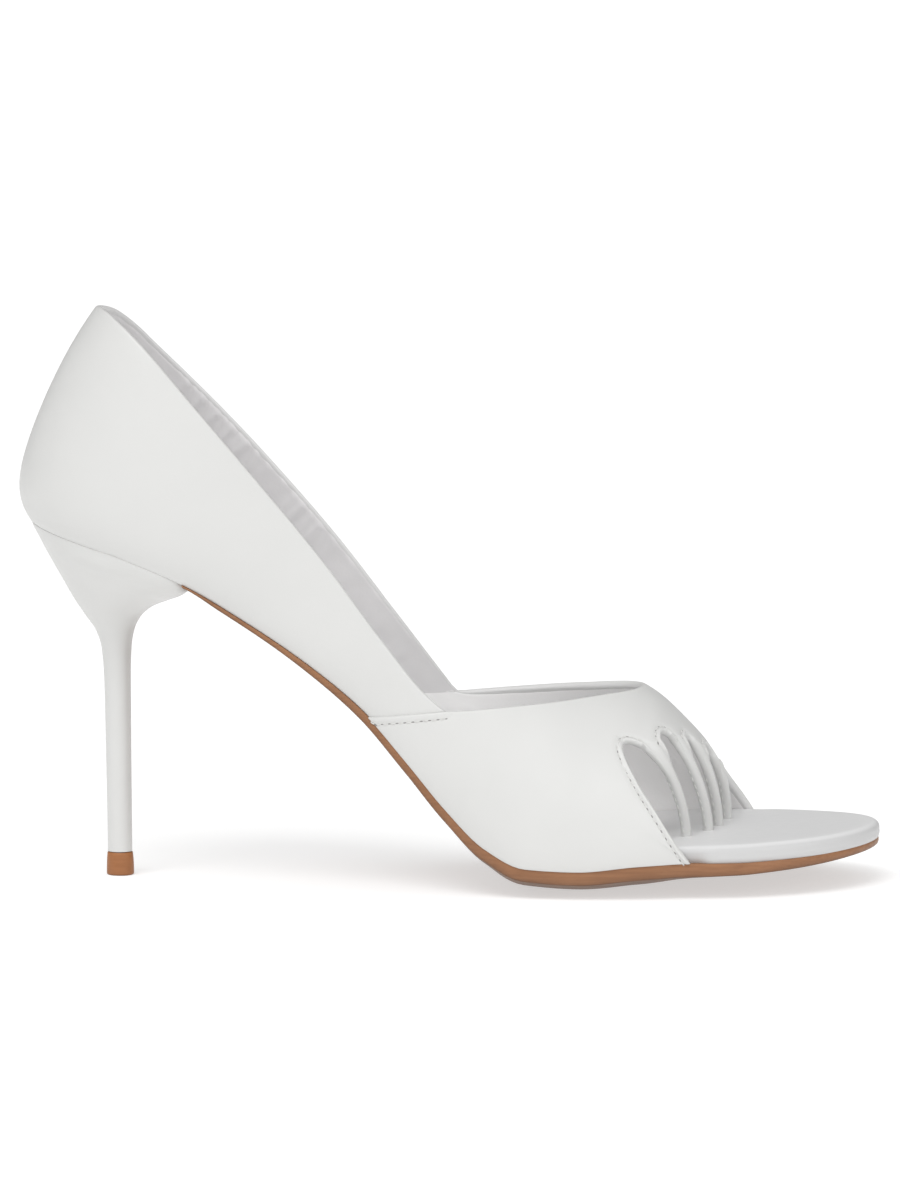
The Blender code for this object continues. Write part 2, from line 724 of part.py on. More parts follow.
def outsole_ring(station):
    """A section of the outsole: flat top, upright edge and crowned tread, flat on the floor."""
    lateral, medial = outline(station, OUTSOLE_TIP)
    lateral -= OUTSOLE_LEDGE
    medial += OUTSOLE_LEDGE
    top = feather(station) - GAP
    stretch = slope_stretch(station)
    edge = OUTSOLE_SHAPE["edge"](station) * stretch
    crown = OUTSOLE_SHAPE["crown"](station) * stretch
    shares = (-1.0, -0.96, -0.8, -0.6, -0.3, 0.3, 0.6, 0.8, 0.96, 1.0)
    middle, half = (lateral + medial) / 2.0, (medial - lateral) / 2.0
    over = [(station, middle + half * s, top) for s in shares]
    under = []
    for s in reversed(shares):
        drop = edge + crown * (1.0 - abs(s) ** CROWN_POWER)
        under.append((station, middle + half * s, max(top - drop, 0.0)))
    return over + under


def make_outsole(material):
    """The tan sole, from the heel's breast along the arch and ball to the toe."""
    stations = even_stations(OUTSOLE_START, TOE_START, SOLE_STEP) + toe_stations(OUTSOLE_TIP)
    return loft("outsole", [outsole_ring(s) for s in stations], material)


# Heel


def heel_ring(row):
    """A section of the heel, as pairs of lateral and medial points from back to front."""
    section = dict(zip(HEEL_COLUMNS, row))
    back, front = section["back_station"], section["front_station"]
    middle = back + (front - back) * 0.52
    half = HEEL_RING_POINTS // 2
    lateral = []
    for i in range(half):
        turn = math.pi * (i + 0.5) / half
        power = 1.0 if turn < math.pi / 2.0 else 2.0 / section["squareness"]
        reach = middle - back if turn < math.pi / 2.0 else front - middle
        along = math.copysign(abs(math.cos(turn)) ** power, -math.cos(turn))
        station = middle + reach * along
        height = section["back_height"] + (station - back) / (front - back) * (
            section["front_height"] - section["back_height"]
        )
        lateral.append((station, -section["half_width"] * math.sin(turn) ** power, height))
    medial = [(p[0], -p[1], p[2]) for p in reversed(lateral)]
    return lateral + medial


def seat_ring():
    """The top of the heel: the outline of the seat, just under the upper and the insole."""
    half = HEEL_RING_POINTS // 2
    back = SEAT_CENTRE - SEAT_BACK_REACH * math.cos(SEAT_PITCH) + GAP
    lateral, medial = [], []
    for i in range(half):
        turn = math.pi * (i + 0.5) / half
        if turn < math.pi / 2.0:
            station = SEAT_CENTRE - (SEAT_CENTRE - back) * math.cos(turn)
        else:
            along = abs(math.cos(turn)) ** (2.0 / HEEL_SECTIONS[0][5])
            station = SEAT_CENTRE + (HEEL_BREAST - SEAT_CENTRE) * along
        near, far = outline(station)
        corner = math.sin(turn) ** (2.0 / HEEL_SECTIONS[0][5]) if turn > math.pi / 2.0 else 1.0
        lateral.append((station, near * corner, feather(station) - GAP))
        medial.append((station, far * corner, feather(station) - GAP))
    return lateral + medial[::-1]


def make_heel(material):
    """The covered heel: seat, cup and slim stem in one piece."""
    rings = [seat_ring()] + [heel_ring(row) for row in HEEL_SECTIONS]
    return loft("heel", rings, material)


def make_top_piece(material):
    """The wearing tip under the stem."""
    return loft("top_piece", [heel_ring(row) for row in TOP_PIECE_SECTIONS], material)


def main():
    for obj in list(bpy.data.objects):
        bpy.data.objects.remove(obj)
    white = make_material("white_leather", WHITE_LEATHER, 0.42)
    make_upper(white)
    make_insole(make_material("pale_insole", PALE_INSOLE, 0.5))
    make_outsole(make_material("tan_sole", TAN_SOLE, 0.45))
    make_heel(white)
    make_top_piece(make_material("tan_top_piece", TAN_TOP_PIECE, 0.55))


main()
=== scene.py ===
"""The slip-on sandal dressed for its picture: leather upper with rolled toe rims, lining and
stitches, footbed, tan sole, covered heel and top piece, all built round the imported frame.

Sizes are in millimetres in the shoe's own terms, as in the part's source: stations run forward
from the back of the shoe, heights run up from the floor, sides run from the axis of the foot
(lateral negative). They become metres only where a mesh is made.
"""

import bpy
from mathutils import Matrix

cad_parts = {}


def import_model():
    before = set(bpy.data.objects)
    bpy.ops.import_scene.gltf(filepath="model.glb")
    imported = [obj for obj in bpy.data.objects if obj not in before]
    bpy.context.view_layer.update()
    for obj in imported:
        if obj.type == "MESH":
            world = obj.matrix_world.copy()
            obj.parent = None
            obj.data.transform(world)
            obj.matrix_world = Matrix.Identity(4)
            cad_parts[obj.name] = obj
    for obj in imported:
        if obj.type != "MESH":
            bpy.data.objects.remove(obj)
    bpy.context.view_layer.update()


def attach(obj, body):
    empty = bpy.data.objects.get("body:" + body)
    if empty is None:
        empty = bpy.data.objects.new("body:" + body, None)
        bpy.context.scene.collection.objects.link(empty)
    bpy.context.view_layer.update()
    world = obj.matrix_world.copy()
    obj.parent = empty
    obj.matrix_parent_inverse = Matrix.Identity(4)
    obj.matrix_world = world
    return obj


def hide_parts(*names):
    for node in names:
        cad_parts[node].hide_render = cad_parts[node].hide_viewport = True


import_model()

import math

import bmesh
import bpy
import numpy as np
from mathutils import Vector, noise
from mathutils.kdtree import KDTree

MM = 0.001

# Driving dimensions, as in the part's source
SHOE_LENGTH = 222.0
ORIGIN_STATION = 110.65
ORIGIN_SIDE = -1.5
INNER_FACE = -1.45
SEAT_CENTRE = 26.0
SEAT_BACK_REACH = 24.5
SEAT_PITCH = math.radians(17.0)
BACK_BULGE = 7.7
BULGE_RISE = 5.5
TOE_START = 170.0
TOE_TIP_SIDE = 4.0

SECTION_COLUMNS = (
    "station", "feather", "lateral", "medial", "girth", "crest", "fullness", "bulge", "lean",
)
SECTIONS = (
    (26.0, 85.3, 24.0, 24.0, 81.0, 0.0, 2.3, 5.0, 17.0),
    (44.0, 77.8, 25.0, 23.5, 81.0, 0.0, 2.3, 4.5, 17.0),
    (60.0, 68.4, 25.0, 21.5, 79.0, 0.5, 2.3, 4.0, 15.0),
    (76.0, 57.6, 25.5, 20.5, 77.0, 1.0, 2.3, 3.4, 12.0),
    (90.0, 46.2, 27.0, 21.5, 75.0, 2.0, 2.2, 2.9, 8.0),
    (102.0, 33.0, 30.5, 24.5, 72.8, 3.0, 2.1, 2.4, 4.0),
    (112.0, 21.5, 34.0, 28.0, 69.7, 4.0, 2.0, 2.2, 1.0),
    (122.0, 12.2, 37.5, 31.5, 64.7, 5.0, 1.9, 2.2, 0.0),
    (132.0, 7.7, 40.0, 34.5, 58.2, 5.5, 1.9, 2.2, 0.0),
    (145.0, 7.2, 41.0, 37.0, 49.0, 6.0, 1.9, 2.2, 0.0),
    (160.0, 8.6, 40.5, 38.0, 41.1, 6.0, 1.9, 2.2, 0.0),
    (165.0, 8.9, 39.8, 38.0, 37.5, 6.0, 2.0, 2.2, 0.0),
    (170.0, 9.1, 38.5, 38.0, 32.6, 6.0, 2.0, 2.2, 0.0),
    (176.0, 9.2, None, None, 25.9, 6.0, 2.1, 2.2, 0.0),
    (181.0, 9.2, None, None, 18.9, 6.0, 2.1, 1.9, 0.0),
    (186.0, 9.2, None, None, 15.6, 6.0, 2.1, 1.7, 0.0),
    (192.0, 9.4, None, None, 12.6, 5.0, 2.2, 1.5, 0.0),
    (205.0, 10.0, None, None, 10.4, 5.0, 2.2, 1.0, 0.0),
    (222.0, 11.2, None, None, 8.2, 4.0, 2.2, 0.8, 0.0),
)

COLLAR_COLUMNS = ("station", "lateral", "medial")
COLLAR = (
    (18.0, 148.8, 148.8), (22.0, 147.8, 147.2), (27.0, 144.6, 143.0), (32.0, 140.2, 137.8),
    (48.0, 122.3, 121.9), (63.0, 104.9, 106.2), (80.0, 84.3, 86.9), (95.0, 64.3, 67.2),
    (105.0, 52.2, 53.6), (111.0, 47.0, 45.4),
)
JOINT_STATION = 111.0
THROAT_CREST_STATION = 160.0
THROAT_CREST_HEIGHT = 49.6
THROAT_SHARE = 0.5
SEAM_FOOT_STATION = 91.5
SEAM_BEND_REACH = 28.0

# The vamp's front edge down each side, as (station, degrees round the last)
LATERAL_CUT = ((173.6, 90.0), (162.4, 60.5), (148.8, 41.0), (160.8, 43.7))
MEDIAL_CUT = ((191.0, 90.0), (189.5, 62.0), (177.8, 28.0), (180.8, 10.2))

STRAP_COLUMNS = (
    "root_angle", "near_station", "far_station",
    "crown_angle", "crown_station", "foot_station", "foot_side",
)
STRAPS = (
    (-40.5, 160.8, 165.8, -34.2, 165.5, 172.2, -17.0),
    (-26.0, 168.0, 171.8, -20.5, 171.6, 177.7, -7.0),
    (-13.5, 173.6, 176.8, -3.8, 176.5, 180.2, 2.0),
    (7.0, 178.8, 180.8, None, None, 182.3, 15.0),
)
STRAP_ROOT_HALF_ANGLE = 3.2
STRAP_WIDTH = 3.0
STRAP_THICKNESS = 2.7
STRAP_START_HANDLE = 0.3
STRAP_FOOT_HANDLE = 0.24
STRAP_SINK = 0.6

INSOLE_COLUMNS = ("station", "thickness", "edge_radius")
INSOLE = (
    (2.0, 2.5, 0.8), (110.0, 2.5, 0.8), (140.0, 3.2, 1.0), (165.0, 4.0, 1.8), (190.0, 4.6, 2.0),
    (222.0, 4.2, 2.0),
)
INSOLE_TOE_INSET = 0.25
INSOLE_SIDE_INSET = 1.85
INSOLE_FLARE_START = 1.2
INSOLE_FLARE_LENGTH = 4.5

OUTSOLE_START = 44.6
OUTSOLE_LEDGE = 0.4
SOLE_TIP_INSET = 0.35
SOLE_GAP = 0.03
SOLE_TUCK = 1.0
OUTSOLE_COLUMNS = ("station", "edge", "crown")
OUTSOLE = (
    (44.0, 1.0, 0.0), (60.0, 1.2, 0.0), (90.0, 2.1, 0.3), (112.0, 2.5, 1.4), (132.0, 3.3, 4.0),
    (145.0, 3.5, 4.2), (160.0, 3.6, 4.2), (176.0, 3.4, 2.6), (200.0, 2.7, 1.0),
    (222.0, 1.7, 0.3),
)
CROWN_POWER = 2.6

HEEL_BREAST = 44.2
HEEL_COLUMNS = (
    "back_station", "back_height", "front_station", "front_height", "half_width", "squareness",
)
HEEL_SECTIONS = (
    (4.4, 88.6, 44.2, 75.9, 23.2, 9.0), (7.2, 83.2, 42.6, 74.2, 20.2, 6.0),
    (10.4, 77.4, 38.6, 72.4, 15.4, 4.0), (13.4, 72.0, 34.0, 70.4, 10.8, 3.0),
    (16.2, 67.8, 30.8, 67.8, 7.2, 2.5), (18.9, 63.8, 28.9, 64.2, 5.0, 2.2),
    (20.3, 59.4, 28.1, 59.6, 3.95, 2.0), (20.9, 52.0, 27.85, 52.0, 3.5, 2.0),
    (21.3, 32.0, 27.9, 32.0, 3.3, 2.0), (21.7, 6.2, 28.0, 6.2, 3.15, 2.0),
)
TOP_PIECE_SECTIONS = (
    (21.7, 6.0, 28.0, 6.0, 3.15, 2.0), (21.55, 5.8, 28.15, 5.8, 3.3, 2.0),
    (21.35, 0.5, 28.45, 0.5, 3.5, 2.0), (21.45, 0.15, 28.35, 0.15, 3.4, 2.0),
    (21.7, 0.0, 28.1, 0.0, 3.15, 2.0),
)

# Profiles across the leather, by the distance from an edge
# The rolled rim of the toe openings: half thickness of the wall outside its middle
RIM = (
    (0.0, 0.0), (0.06, 0.45), (0.15, 0.72), (0.3, 0.98), (0.5, 1.15), (0.7, 1.2), (0.9, 1.13),
    (1.1, 0.95), (1.3, 0.79), (1.5, 0.75), (1.75, 0.82), (2.2, 0.97), (2.8, 1.04), (3.4, 1.05),
)
# The vamp's edge lapped over the quarter: rise of its face, with the sewn row sunk in
LAP = (
    (0.0, 0.0), (0.04, 0.3), (0.12, 0.52), (0.25, 0.68), (0.45, 0.78), (0.8, 0.8), (1.2, 0.74),
    (1.6, 0.6), (1.9, 0.53), (2.2, 0.58), (2.7, 0.68), (3.4, 0.7),
)
VAMP_STEP = 0.7

# Rounding of the wall's other edges, and how far up its foot is turned level
TOP_ROUND = 0.85
RIM_INSIDE_ROUND = 1.05
FOOT_TUCK = 0.09
FOOT_TUCK_REACH = 0.5
FLAT_FOOT_REACH = 2.5
NOT_NEAR = 99.0

# Slow unevenness of the leather, as (height, size), and where it fades in from an edge
SWELLS = ((0.06, 17.0), (0.02, 5.0))
SWELL_FROM_EDGE = (0.5, 4.0)
SWELL_FROM_FOOT = (0.0, 3.0)

# Stitches, with (place, thickness, sink) along a thread and (width, height) in a needle hole
RIM_STITCH_DISTANCE = 1.5
LAP_STITCH_DISTANCE = 1.9
STRAP_STITCH_SHARES = (0.14, 0.96)
STRAP_STITCH_SINK = 0.06
STRAP_STITCH_LEAN = (0.93, 0.36)
STITCH_PITCH = 2.2
STITCH_LENGTH = 1.5
STITCH_RADIUS = 0.2
STITCH_LIFT = 0.02
STITCH_SIDES = 8
STITCH_STEPS = (
    (-1.0, 0.3, 0.16), (-0.8, 0.8, 0.03), (-0.35, 1.0, -0.05),
    (0.35, 1.0, -0.05), (0.8, 0.8, 0.03), (1.0, 0.3, 0.16),
)
HOLE_RADIUS = 0.29
HOLE_ACROSS = 0.62
HOLE_ALONG = 1.5
HOLE_DEPTH = 0.2
HOLE_SIDES = 10
HOLE_STEPS = ((1.0, 0.01), (0.8, 0.03), (0.4, 0.035))

# Lining, glued inside the wall: it thins out towards every free edge
LINING_ROWS = 44
LINING_TOP_GAP = 0.8
LINING_FRONT_GAP = 1.1
LINING_FOOT_GAP = 0.3
LINING_MOST_GAP_SHARE = 0.4
LINING_THICKNESS = 0.45
LINING_LEAST_THICKNESS = 0.04
LINING_EDGE_THICKNESS = 0.06
LINING_EDGE_REACH = 6.0
LINING_EDGE_ROUND = 0.3
LINING_BACK_SINK = 0.12
LINING_FACE_SINK = 0.1

# Its wrinkles, as (height, size along, across, up) on leaning axes, and where they fade
WRINKLES = ((0.16, 2.2, 14.0, 9.0), (0.22, 9.0, 30.0, 16.0))
WRINKLE_LEAN = (0.62, 0.78)
WRINKLE_START = (1.2, 6.0)
WRINKLE_FADE = (22.0, 40.0)
WRINKLE_FADE_SHARE = 0.6
SEAM_CALM_REACH = 12.0
VAMP_CALM = 0.4

# Creases of the lining inside each quarter: ridges where it was drawn over the edge of the last
CREASE_COLUMNS = ("station", "length", "height", "width", "slant")
CREASES = (
    (26.0, 6.0, 0.3, 0.6, 0.25), (28.4, 8.0, 0.4, 0.7, 0.35), (30.6, 7.0, 0.34, 0.5, 0.15),
    (33.2, 10.0, 0.5, 0.8, 0.4), (35.4, 7.0, 0.4, 0.6, 0.2), (37.9, 11.0, 0.54, 0.8, 0.45),
    (40.0, 8.0, 0.42, 0.6, 0.25), (42.3, 12.0, 0.52, 0.9, 0.4), (44.8, 9.0, 0.46, 0.7, 0.3),
    (47.0, 12.0, 0.56, 0.8, 0.5), (49.6, 9.0, 0.36, 0.7, 0.2), (53.5, 13.0, 0.22, 1.0, 0.35),
    (58.0, 11.0, 0.24, 0.9, 0.25), (62.0, 13.0, 0.42, 0.9, 0.4), (64.6, 15.0, 0.52, 1.0, 0.5),
    (67.2, 12.0, 0.48, 0.8, 0.35), (69.9, 14.0, 0.46, 1.0, 0.45), (73.5, 11.0, 0.28, 1.0, 0.2),
    (79.0, 12.0, 0.18, 1.2, 0.3), (87.0, 11.0, 0.2, 1.3, 0.25), (96.0, 8.0, 0.12, 1.2, 0.15),
)
CREASE_START = (0.6, 1.7)
CREASE_TOP = 1.0
CREASE_FADE = (0.5, 1.0)
CREASE_PARTS = 4

# Rows of the upper, by the distance from its lower edge, its front edge and its top edge, and
# columns by the distance from the side seam
SIDE_ROWS = (0.0, 0.08, 0.2, 0.4, 0.7, 1.0, 1.3, 1.6, 2.0, 2.4, 2.8, 3.2, 3.6, 4.0, 4.5, 5.0)
FRONT_ROWS = (
    0.0, 0.06, 0.15, 0.28, 0.45, 0.65, 0.85, 1.05, 1.3, 1.55, 1.8, 2.05, 2.35, 2.7, 3.2, 4.0,
)
TOP_ROWS = (3.0, 2.1, 1.5, 1.05, 0.75, 0.5, 0.3, 0.16, 0.06, 0.0)
SEAM_COLUMNS = (0.0, 0.06, 0.18, 0.36, 0.6, 0.9, 1.3, 1.8, 2.3, 2.8, 3.4, 4.2)
MOST_FOOT_SHARE = 0.45
MOST_TOP_SHARE = 0.3
MIDDLE_ROWS = 36
HEEL_TURNS = 72
SIDE_STEP = 1.5
CORNER_STEP = 0.3
CORNER_REACH = 7.0
CUT_STEPS = 70
ARCH_STEPS = 26
STRAP_SPAN = 14
STRAP_RINGS = 40
STRAP_ROLL_SHARE = 0.38
STRAP_SQUARENESS = 0.9
SIDE_TURN = 89.9
SLANT_SHARE = 0.05
SLANT_SPREAD = 3
LEAST_SLANT = 0.33
RUN_POINTS = 240
SEAM_POINT_COUNT = 161
SEAM_SEARCH = 15.0

# Points along the edges of the soles, and the forms of those edges
TOE_POINTS = 61
SEAT_POINTS = 31
WHOLE_BODY_POINTS = 97
SOLE_BODY_POINTS = 85
FOOTBED_OPEN = (165.0, 185.0)
FOOTBED_BELLY = 0.22
FOOTBED_BELLY_TOP = 0.75
FOOTBED_FOOT_INSET = 0.06
FOOTBED_SWELL_SHARE = 0.9
SOLE_TOE_FADE = (185.0, 214.0)
SOLE_HEEL_SHARE = 0.55
SOLE_HEEL_REACH = 9.0
SOLE_STEPS = (
    (0.2, 0.0), (0.06, 0.01), (0.0, 0.06), (-0.06, 0.35), (-0.08, 0.5), (-0.04, 0.7),
    (0.06, 0.88), (0.25, 0.97), (0.55, 1.0),
)
RING_POINTS = 96
HEEL_MIDDLE = 0.52
SEAT_STEPS = ((0.1, 0.0), (0.02, 0.12))

# Scales (per metre) and depths (in metres) of the grain of the materials
TONE_SCALE = 34.0
GLOSS_SCALE = 420.0
PORE_SCALE = 5200.0
PORE_DEPTH = 0.00003
PEBBLE_DEPTH = 0.00006
FIBRE_SCALES = (60.0, 700.0, 1500.0)
FIBRE_DEPTH = 0.00008
PATCH_SCALE = 55.0
TWIST_SCALES = (4200.0, 2600.0, 3400.0)
TWIST_DEPTH = 0.00005

# Floor and light: a sky brighter from one side, a broad sun, and lights as (place, target, size,
# power)
FLOOR_REACH = 400.0
FLOOR_TONE = 0.6
FLOOR_GLOW = 0.54
SKY_LOW = 0.25
SKY_HIGH = 0.83
SKY_FROM = (0.0, -0.6, 0.8)
SKY_RANGE = (-0.3, 1.0)
SUN_STRENGTH = 1.1
SUN_FROM = (-0.2, -0.5, 0.84)
SUN_SPREAD = math.radians(34.0)
LIGHTS = {
    "left": ((-1.5, -0.85, 0.4), (-0.05, 0.0, 0.08), (0.8, 0.7), 0.35),
    "front": ((-0.1, -1.8, 0.32), (0.0, 0.0, 0.06), (1.2, 0.5), 0.7),
    "fill": ((1.25, -0.95, 0.55), (0.05, 0.0, 0.04), (0.9, 0.6), 2.9),
}

# The photograph's camera
CAMERA_TARGET = (0.0002, -0.0005, 0.0723)
CAMERA_DISTANCE = 1.6
CAMERA_AZIMUTH = math.radians(3.0)
CAMERA_ELEVATION = math.radians(5.6)
CAMERA_LENS = 186.05
CAMERA_SENSOR = 36.0


def smooth_curve(xs, ys):
    """A smooth curve through rows of values that never overshoots them, for arrays of places."""
    xs, ys = np.asarray(xs, float), np.asarray(ys, float)
    shape = (-1,) + (1,) * (ys.ndim - 1)
    steps = np.diff(xs)
    wide = steps.reshape(shape)
    slopes = np.diff(ys, axis=0) / wide
    before, after = slopes[:-1], slopes[1:]
    weight_before = 2.0 * wide[1:] + wide[:-1]
    weight_after = wide[1:] + 2.0 * wide[:-1]
    same = before * after > 0.0
    safe_before, safe_after = np.where(same, before, 1.0), np.where(same, after, 1.0)
    parts = weight_before / safe_before + weight_after / safe_after
    inner = (weight_before + weight_after) / parts
    tangents = np.concatenate((slopes[:1], np.where(same, inner, 0.0), slopes[-1:]))

    def value(x):
        x = np.clip(np.asarray(x, float), xs[0], xs[-1])
        i = np.clip(np.searchsorted(xs, x) - 1, 0, len(steps) - 1)
        step = steps[i].reshape(x.shape + (1,) * (ys.ndim - 1))
        t = ((x - xs[i]) / steps[i]).reshape(step.shape)
        start = (1.0 + 2.0 * t) * (1.0 - t) ** 2 * ys[i] + t * (1.0 - t) ** 2 * step * tangents[i]
        end = t * t * (3.0 - 2.0 * t) * ys[i + 1] + t * t * (t - 1.0) * step * tangents[i + 1]
        return start + end

    return value


def curves_of(columns, rows):
    """One smooth curve over the station for each other named column of a table."""
    made = {}
    for i, name in enumerate(columns[1:], 1):
        filled = [(row[0], row[i]) for row in rows if row[i] is not None]
        made[name] = smooth_curve(*zip(*filled))
    return made


LAST = curves_of(SECTION_COLUMNS, SECTIONS)
COLLAR_LINE = curves_of(COLLAR_COLUMNS, COLLAR)
INSOLE_SHAPE = curves_of(INSOLE_COLUMNS, INSOLE)
OUTSOLE_SHAPE = curves_of(OUTSOLE_COLUMNS, OUTSOLE)
RIM_PROFILE = smooth_curve(*zip(*RIM))
LAP_PROFILE = smooth_curve(*zip(*LAP))


def blend(low, high, x):
    """0 below low, 1 above high and a smooth step between."""
    t = np.clip((np.asarray(x, float) - low) / (high - low), 0.0, 1.0)
    return t * t * (3.0 - 2.0 * t)


def solve(rising, low, high, rounds=44):
    """The places between low and high where a rising function passes zero."""
    low, high = np.array(low, float), np.array(high, float)
    for _ in range(rounds):
        middle = (low + high) / 2.0
        under = rising(middle) < 0.0
        low, high = np.where(under, middle, low), np.where(under, high, middle)
    return (low + high) / 2.0


def bezier(controls, t):
    """Points of the cubic Bezier curve with these four control points."""
    p = [np.asarray(c, float) for c in controls]
    t = np.asarray(t, float)[..., None]
    s = 1.0 - t
    return s**3 * p[0] + 3.0 * s * s * t * p[1] + 3.0 * s * t * t * p[2] + t**3 * p[3]


def unit(vectors):
    return vectors / np.maximum(np.linalg.norm(vectors, axis=-1, keepdims=True), 1e-12)


def rounded(distance, radius):
    """Height of a quarter round at distances from its edge, 1 past its radius."""
    return np.sqrt(1.0 - (1.0 - np.clip(distance / radius, 0.0, 1.0)) ** 2)


def arrays(*values):
    """Values as arrays of one shape."""
    return np.broadcast_arrays(*(np.asarray(v, float) for v in values))


# The last


def outline(station):
    """(lateral, medial) sides of the feather edge at stations."""
    station = np.asarray(station, float)
    back = (SEAT_CENTRE - station) / (SEAT_BACK_REACH * math.cos(SEAT_PITCH))
    seat = LAST["lateral"](SEAT_CENTRE) * np.sqrt(1.0 - np.clip(back, 0.0, 1.0) ** 2)
    share = np.clip((station - TOE_START) / (SHOE_LENGTH - TOE_START), 0.0, 1.0)
    close = np.sqrt(1.0 - share * share)
    toe_near = TOE_TIP_SIDE - (TOE_TIP_SIDE + LAST["lateral"](TOE_START)) * close
    toe_far = TOE_TIP_SIDE + (LAST["medial"](TOE_START) - TOE_TIP_SIDE) * close
    in_seat, in_toe = station < SEAT_CENTRE, station > TOE_START
    near = np.where(in_seat, -seat, np.where(in_toe, toe_near, -LAST["lateral"](station)))
    far = np.where(in_seat, seat, np.where(in_toe, toe_far, LAST["medial"](station)))
    return near, far


def skin(station, turn, angle):
    """Points of the last. turn: -90 lateral, 0 straight back, 90 medial; angle: 90 at the feather
    edge, 0 at the crest and negative past it."""
    station, turn, angle = arrays(station, turn, angle)
    turn = np.where(angle < 0.0, -turn, turn)
    angle = np.radians(np.abs(angle))
    power = 2.0 / LAST["fullness"](station)
    rise = LAST["girth"](station) * np.maximum(np.cos(angle), 0.0) ** power
    close = np.maximum(np.sin(angle), 0.0) ** power
    swell = 1.0 - np.exp(-rise / BULGE_RISE)
    crest = LAST["crest"](station)
    lean = np.radians(LAST["lean"](station))
    near, far = outline(station)
    reach = np.where(turn < 0.0, crest - near, far - crest)
    across = (reach + LAST["bulge"](station) * swell) * close * np.sin(np.radians(turn))
    back = (SEAT_BACK_REACH + BACK_BULGE * swell) * close * np.cos(np.radians(turn))
    return np.stack((
        station + rise * np.sin(lean) - back * math.cos(SEAT_PITCH),
        crest + across,
        LAST["feather"](station) + rise * np.cos(lean) + back * math.sin(SEAT_PITCH),
    ), axis=-1)


def skin_normal(station, turn, angle):
    """Outward normals of the last, from small steps along it."""
    station, turn, angle = arrays(station, turn, angle)
    small = 0.5
    over = skin(station, turn, angle - small) - skin(station, turn, angle + small)
    round_heel = skin(station, turn + small, angle) - skin(station, turn - small, angle)
    along = skin(station - small, turn, angle) - skin(station + small, turn, angle)
    along = np.where((turn < 0.0)[..., None], along, -along)
    along = np.where((np.abs(turn) < 90.0)[..., None], round_heel, along)
    return unit(np.cross(over, along))


def collar_height(station, turn):
    share = blend(-90.0, 90.0, turn)
    return (1.0 - share) * COLLAR_LINE["lateral"](station) + share * COLLAR_LINE["medial"](station)


def collar_angle(station, turn):
    """The angles at which sections of the last reach the collar line."""

    def over_collar(angle):
        point = skin(station, turn, angle)
        return collar_height(point[..., 0], turn) - point[..., 2]

    wide = np.zeros(np.broadcast(station, turn).shape)
    return solve(over_collar, wide + 20.0, wide + 90.0)


def joint_angle(turn):
    height = collar_height(JOINT_STATION, turn)
    return float(solve(lambda a: height - skin(JOINT_STATION, turn, a)[..., 2], 1.0, 90.0))


def throat_station(turn, angle):
    """The stations at which lines round the last at these angles reach the throat."""
    joint = collar_height(JOINT_STATION, turn)
    rise_per_mm = (THROAT_CREST_HEIGHT - joint) / (THROAT_CREST_STATION - JOINT_STATION)

    def under_throat(station):
        point = skin(station, turn, angle)
        return joint + rise_per_mm * (point[..., 0] - JOINT_STATION) - point[..., 2]

    wide = np.zeros(np.shape(angle))
    return solve(under_throat, wide + JOINT_STATION - 12.0, wide + TOE_START)


def feather(station):
    """Height of the feather edge, with the seat's own pitch behind its centre."""
    station = np.asarray(station, float)
    seat = LAST["feather"](SEAT_CENTRE) + (SEAT_CENTRE - station) * math.tan(SEAT_PITCH)
    return np.where(station < SEAT_CENTRE, seat, LAST["feather"](station))


def slope_stretch(station):
    """How much taller a layer is measured upright than square to the sloping sole."""
    rise = feather(np.asarray(station, float) + 1.0) - feather(np.asarray(station, float) - 1.0)
    return np.hypot(2.0, rise) / 2.0


def insole_top(station):
    return feather(station) + INSOLE_SHAPE["thickness"](station) * slope_stretch(station)


# Meshes


def world(points):
    """Points of the shoe's own frame, in metres from the origin."""
    return (np.asarray(points, float) - (ORIGIN_STATION, ORIGIN_SIDE, 0.0)) * MM


def make_piece(name, sheet, materials, node=None, sharp=None):
    """A shaded mesh piece on the root body, in place of a CAD node where one is named."""
    mesh = bpy.data.meshes.new(name)
    mesh.from_pydata([tuple(p) for p in world(sheet.points)], [], sheet.faces)
    for material in materials:
        mesh.materials.append(material)
    mesh.polygons.foreach_set("material_index", np.asarray(sheet.indices, np.int32))
    mesh.validate()
    shell = bmesh.new()
    shell.from_mesh(mesh)
    bmesh.ops.recalc_face_normals(shell, faces=shell.faces)
    shell.to_mesh(mesh)
    shell.free()
    mesh.shade_smooth()
    if sharp is not None:
        mesh.set_sharp_from_angle(angle=math.radians(sharp))
    mesh.update()
    obj = bpy.data.objects.new(name, mesh)
    bpy.context.scene.collection.objects.link(obj)
    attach(obj, "root")
    if node:
        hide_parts(node)


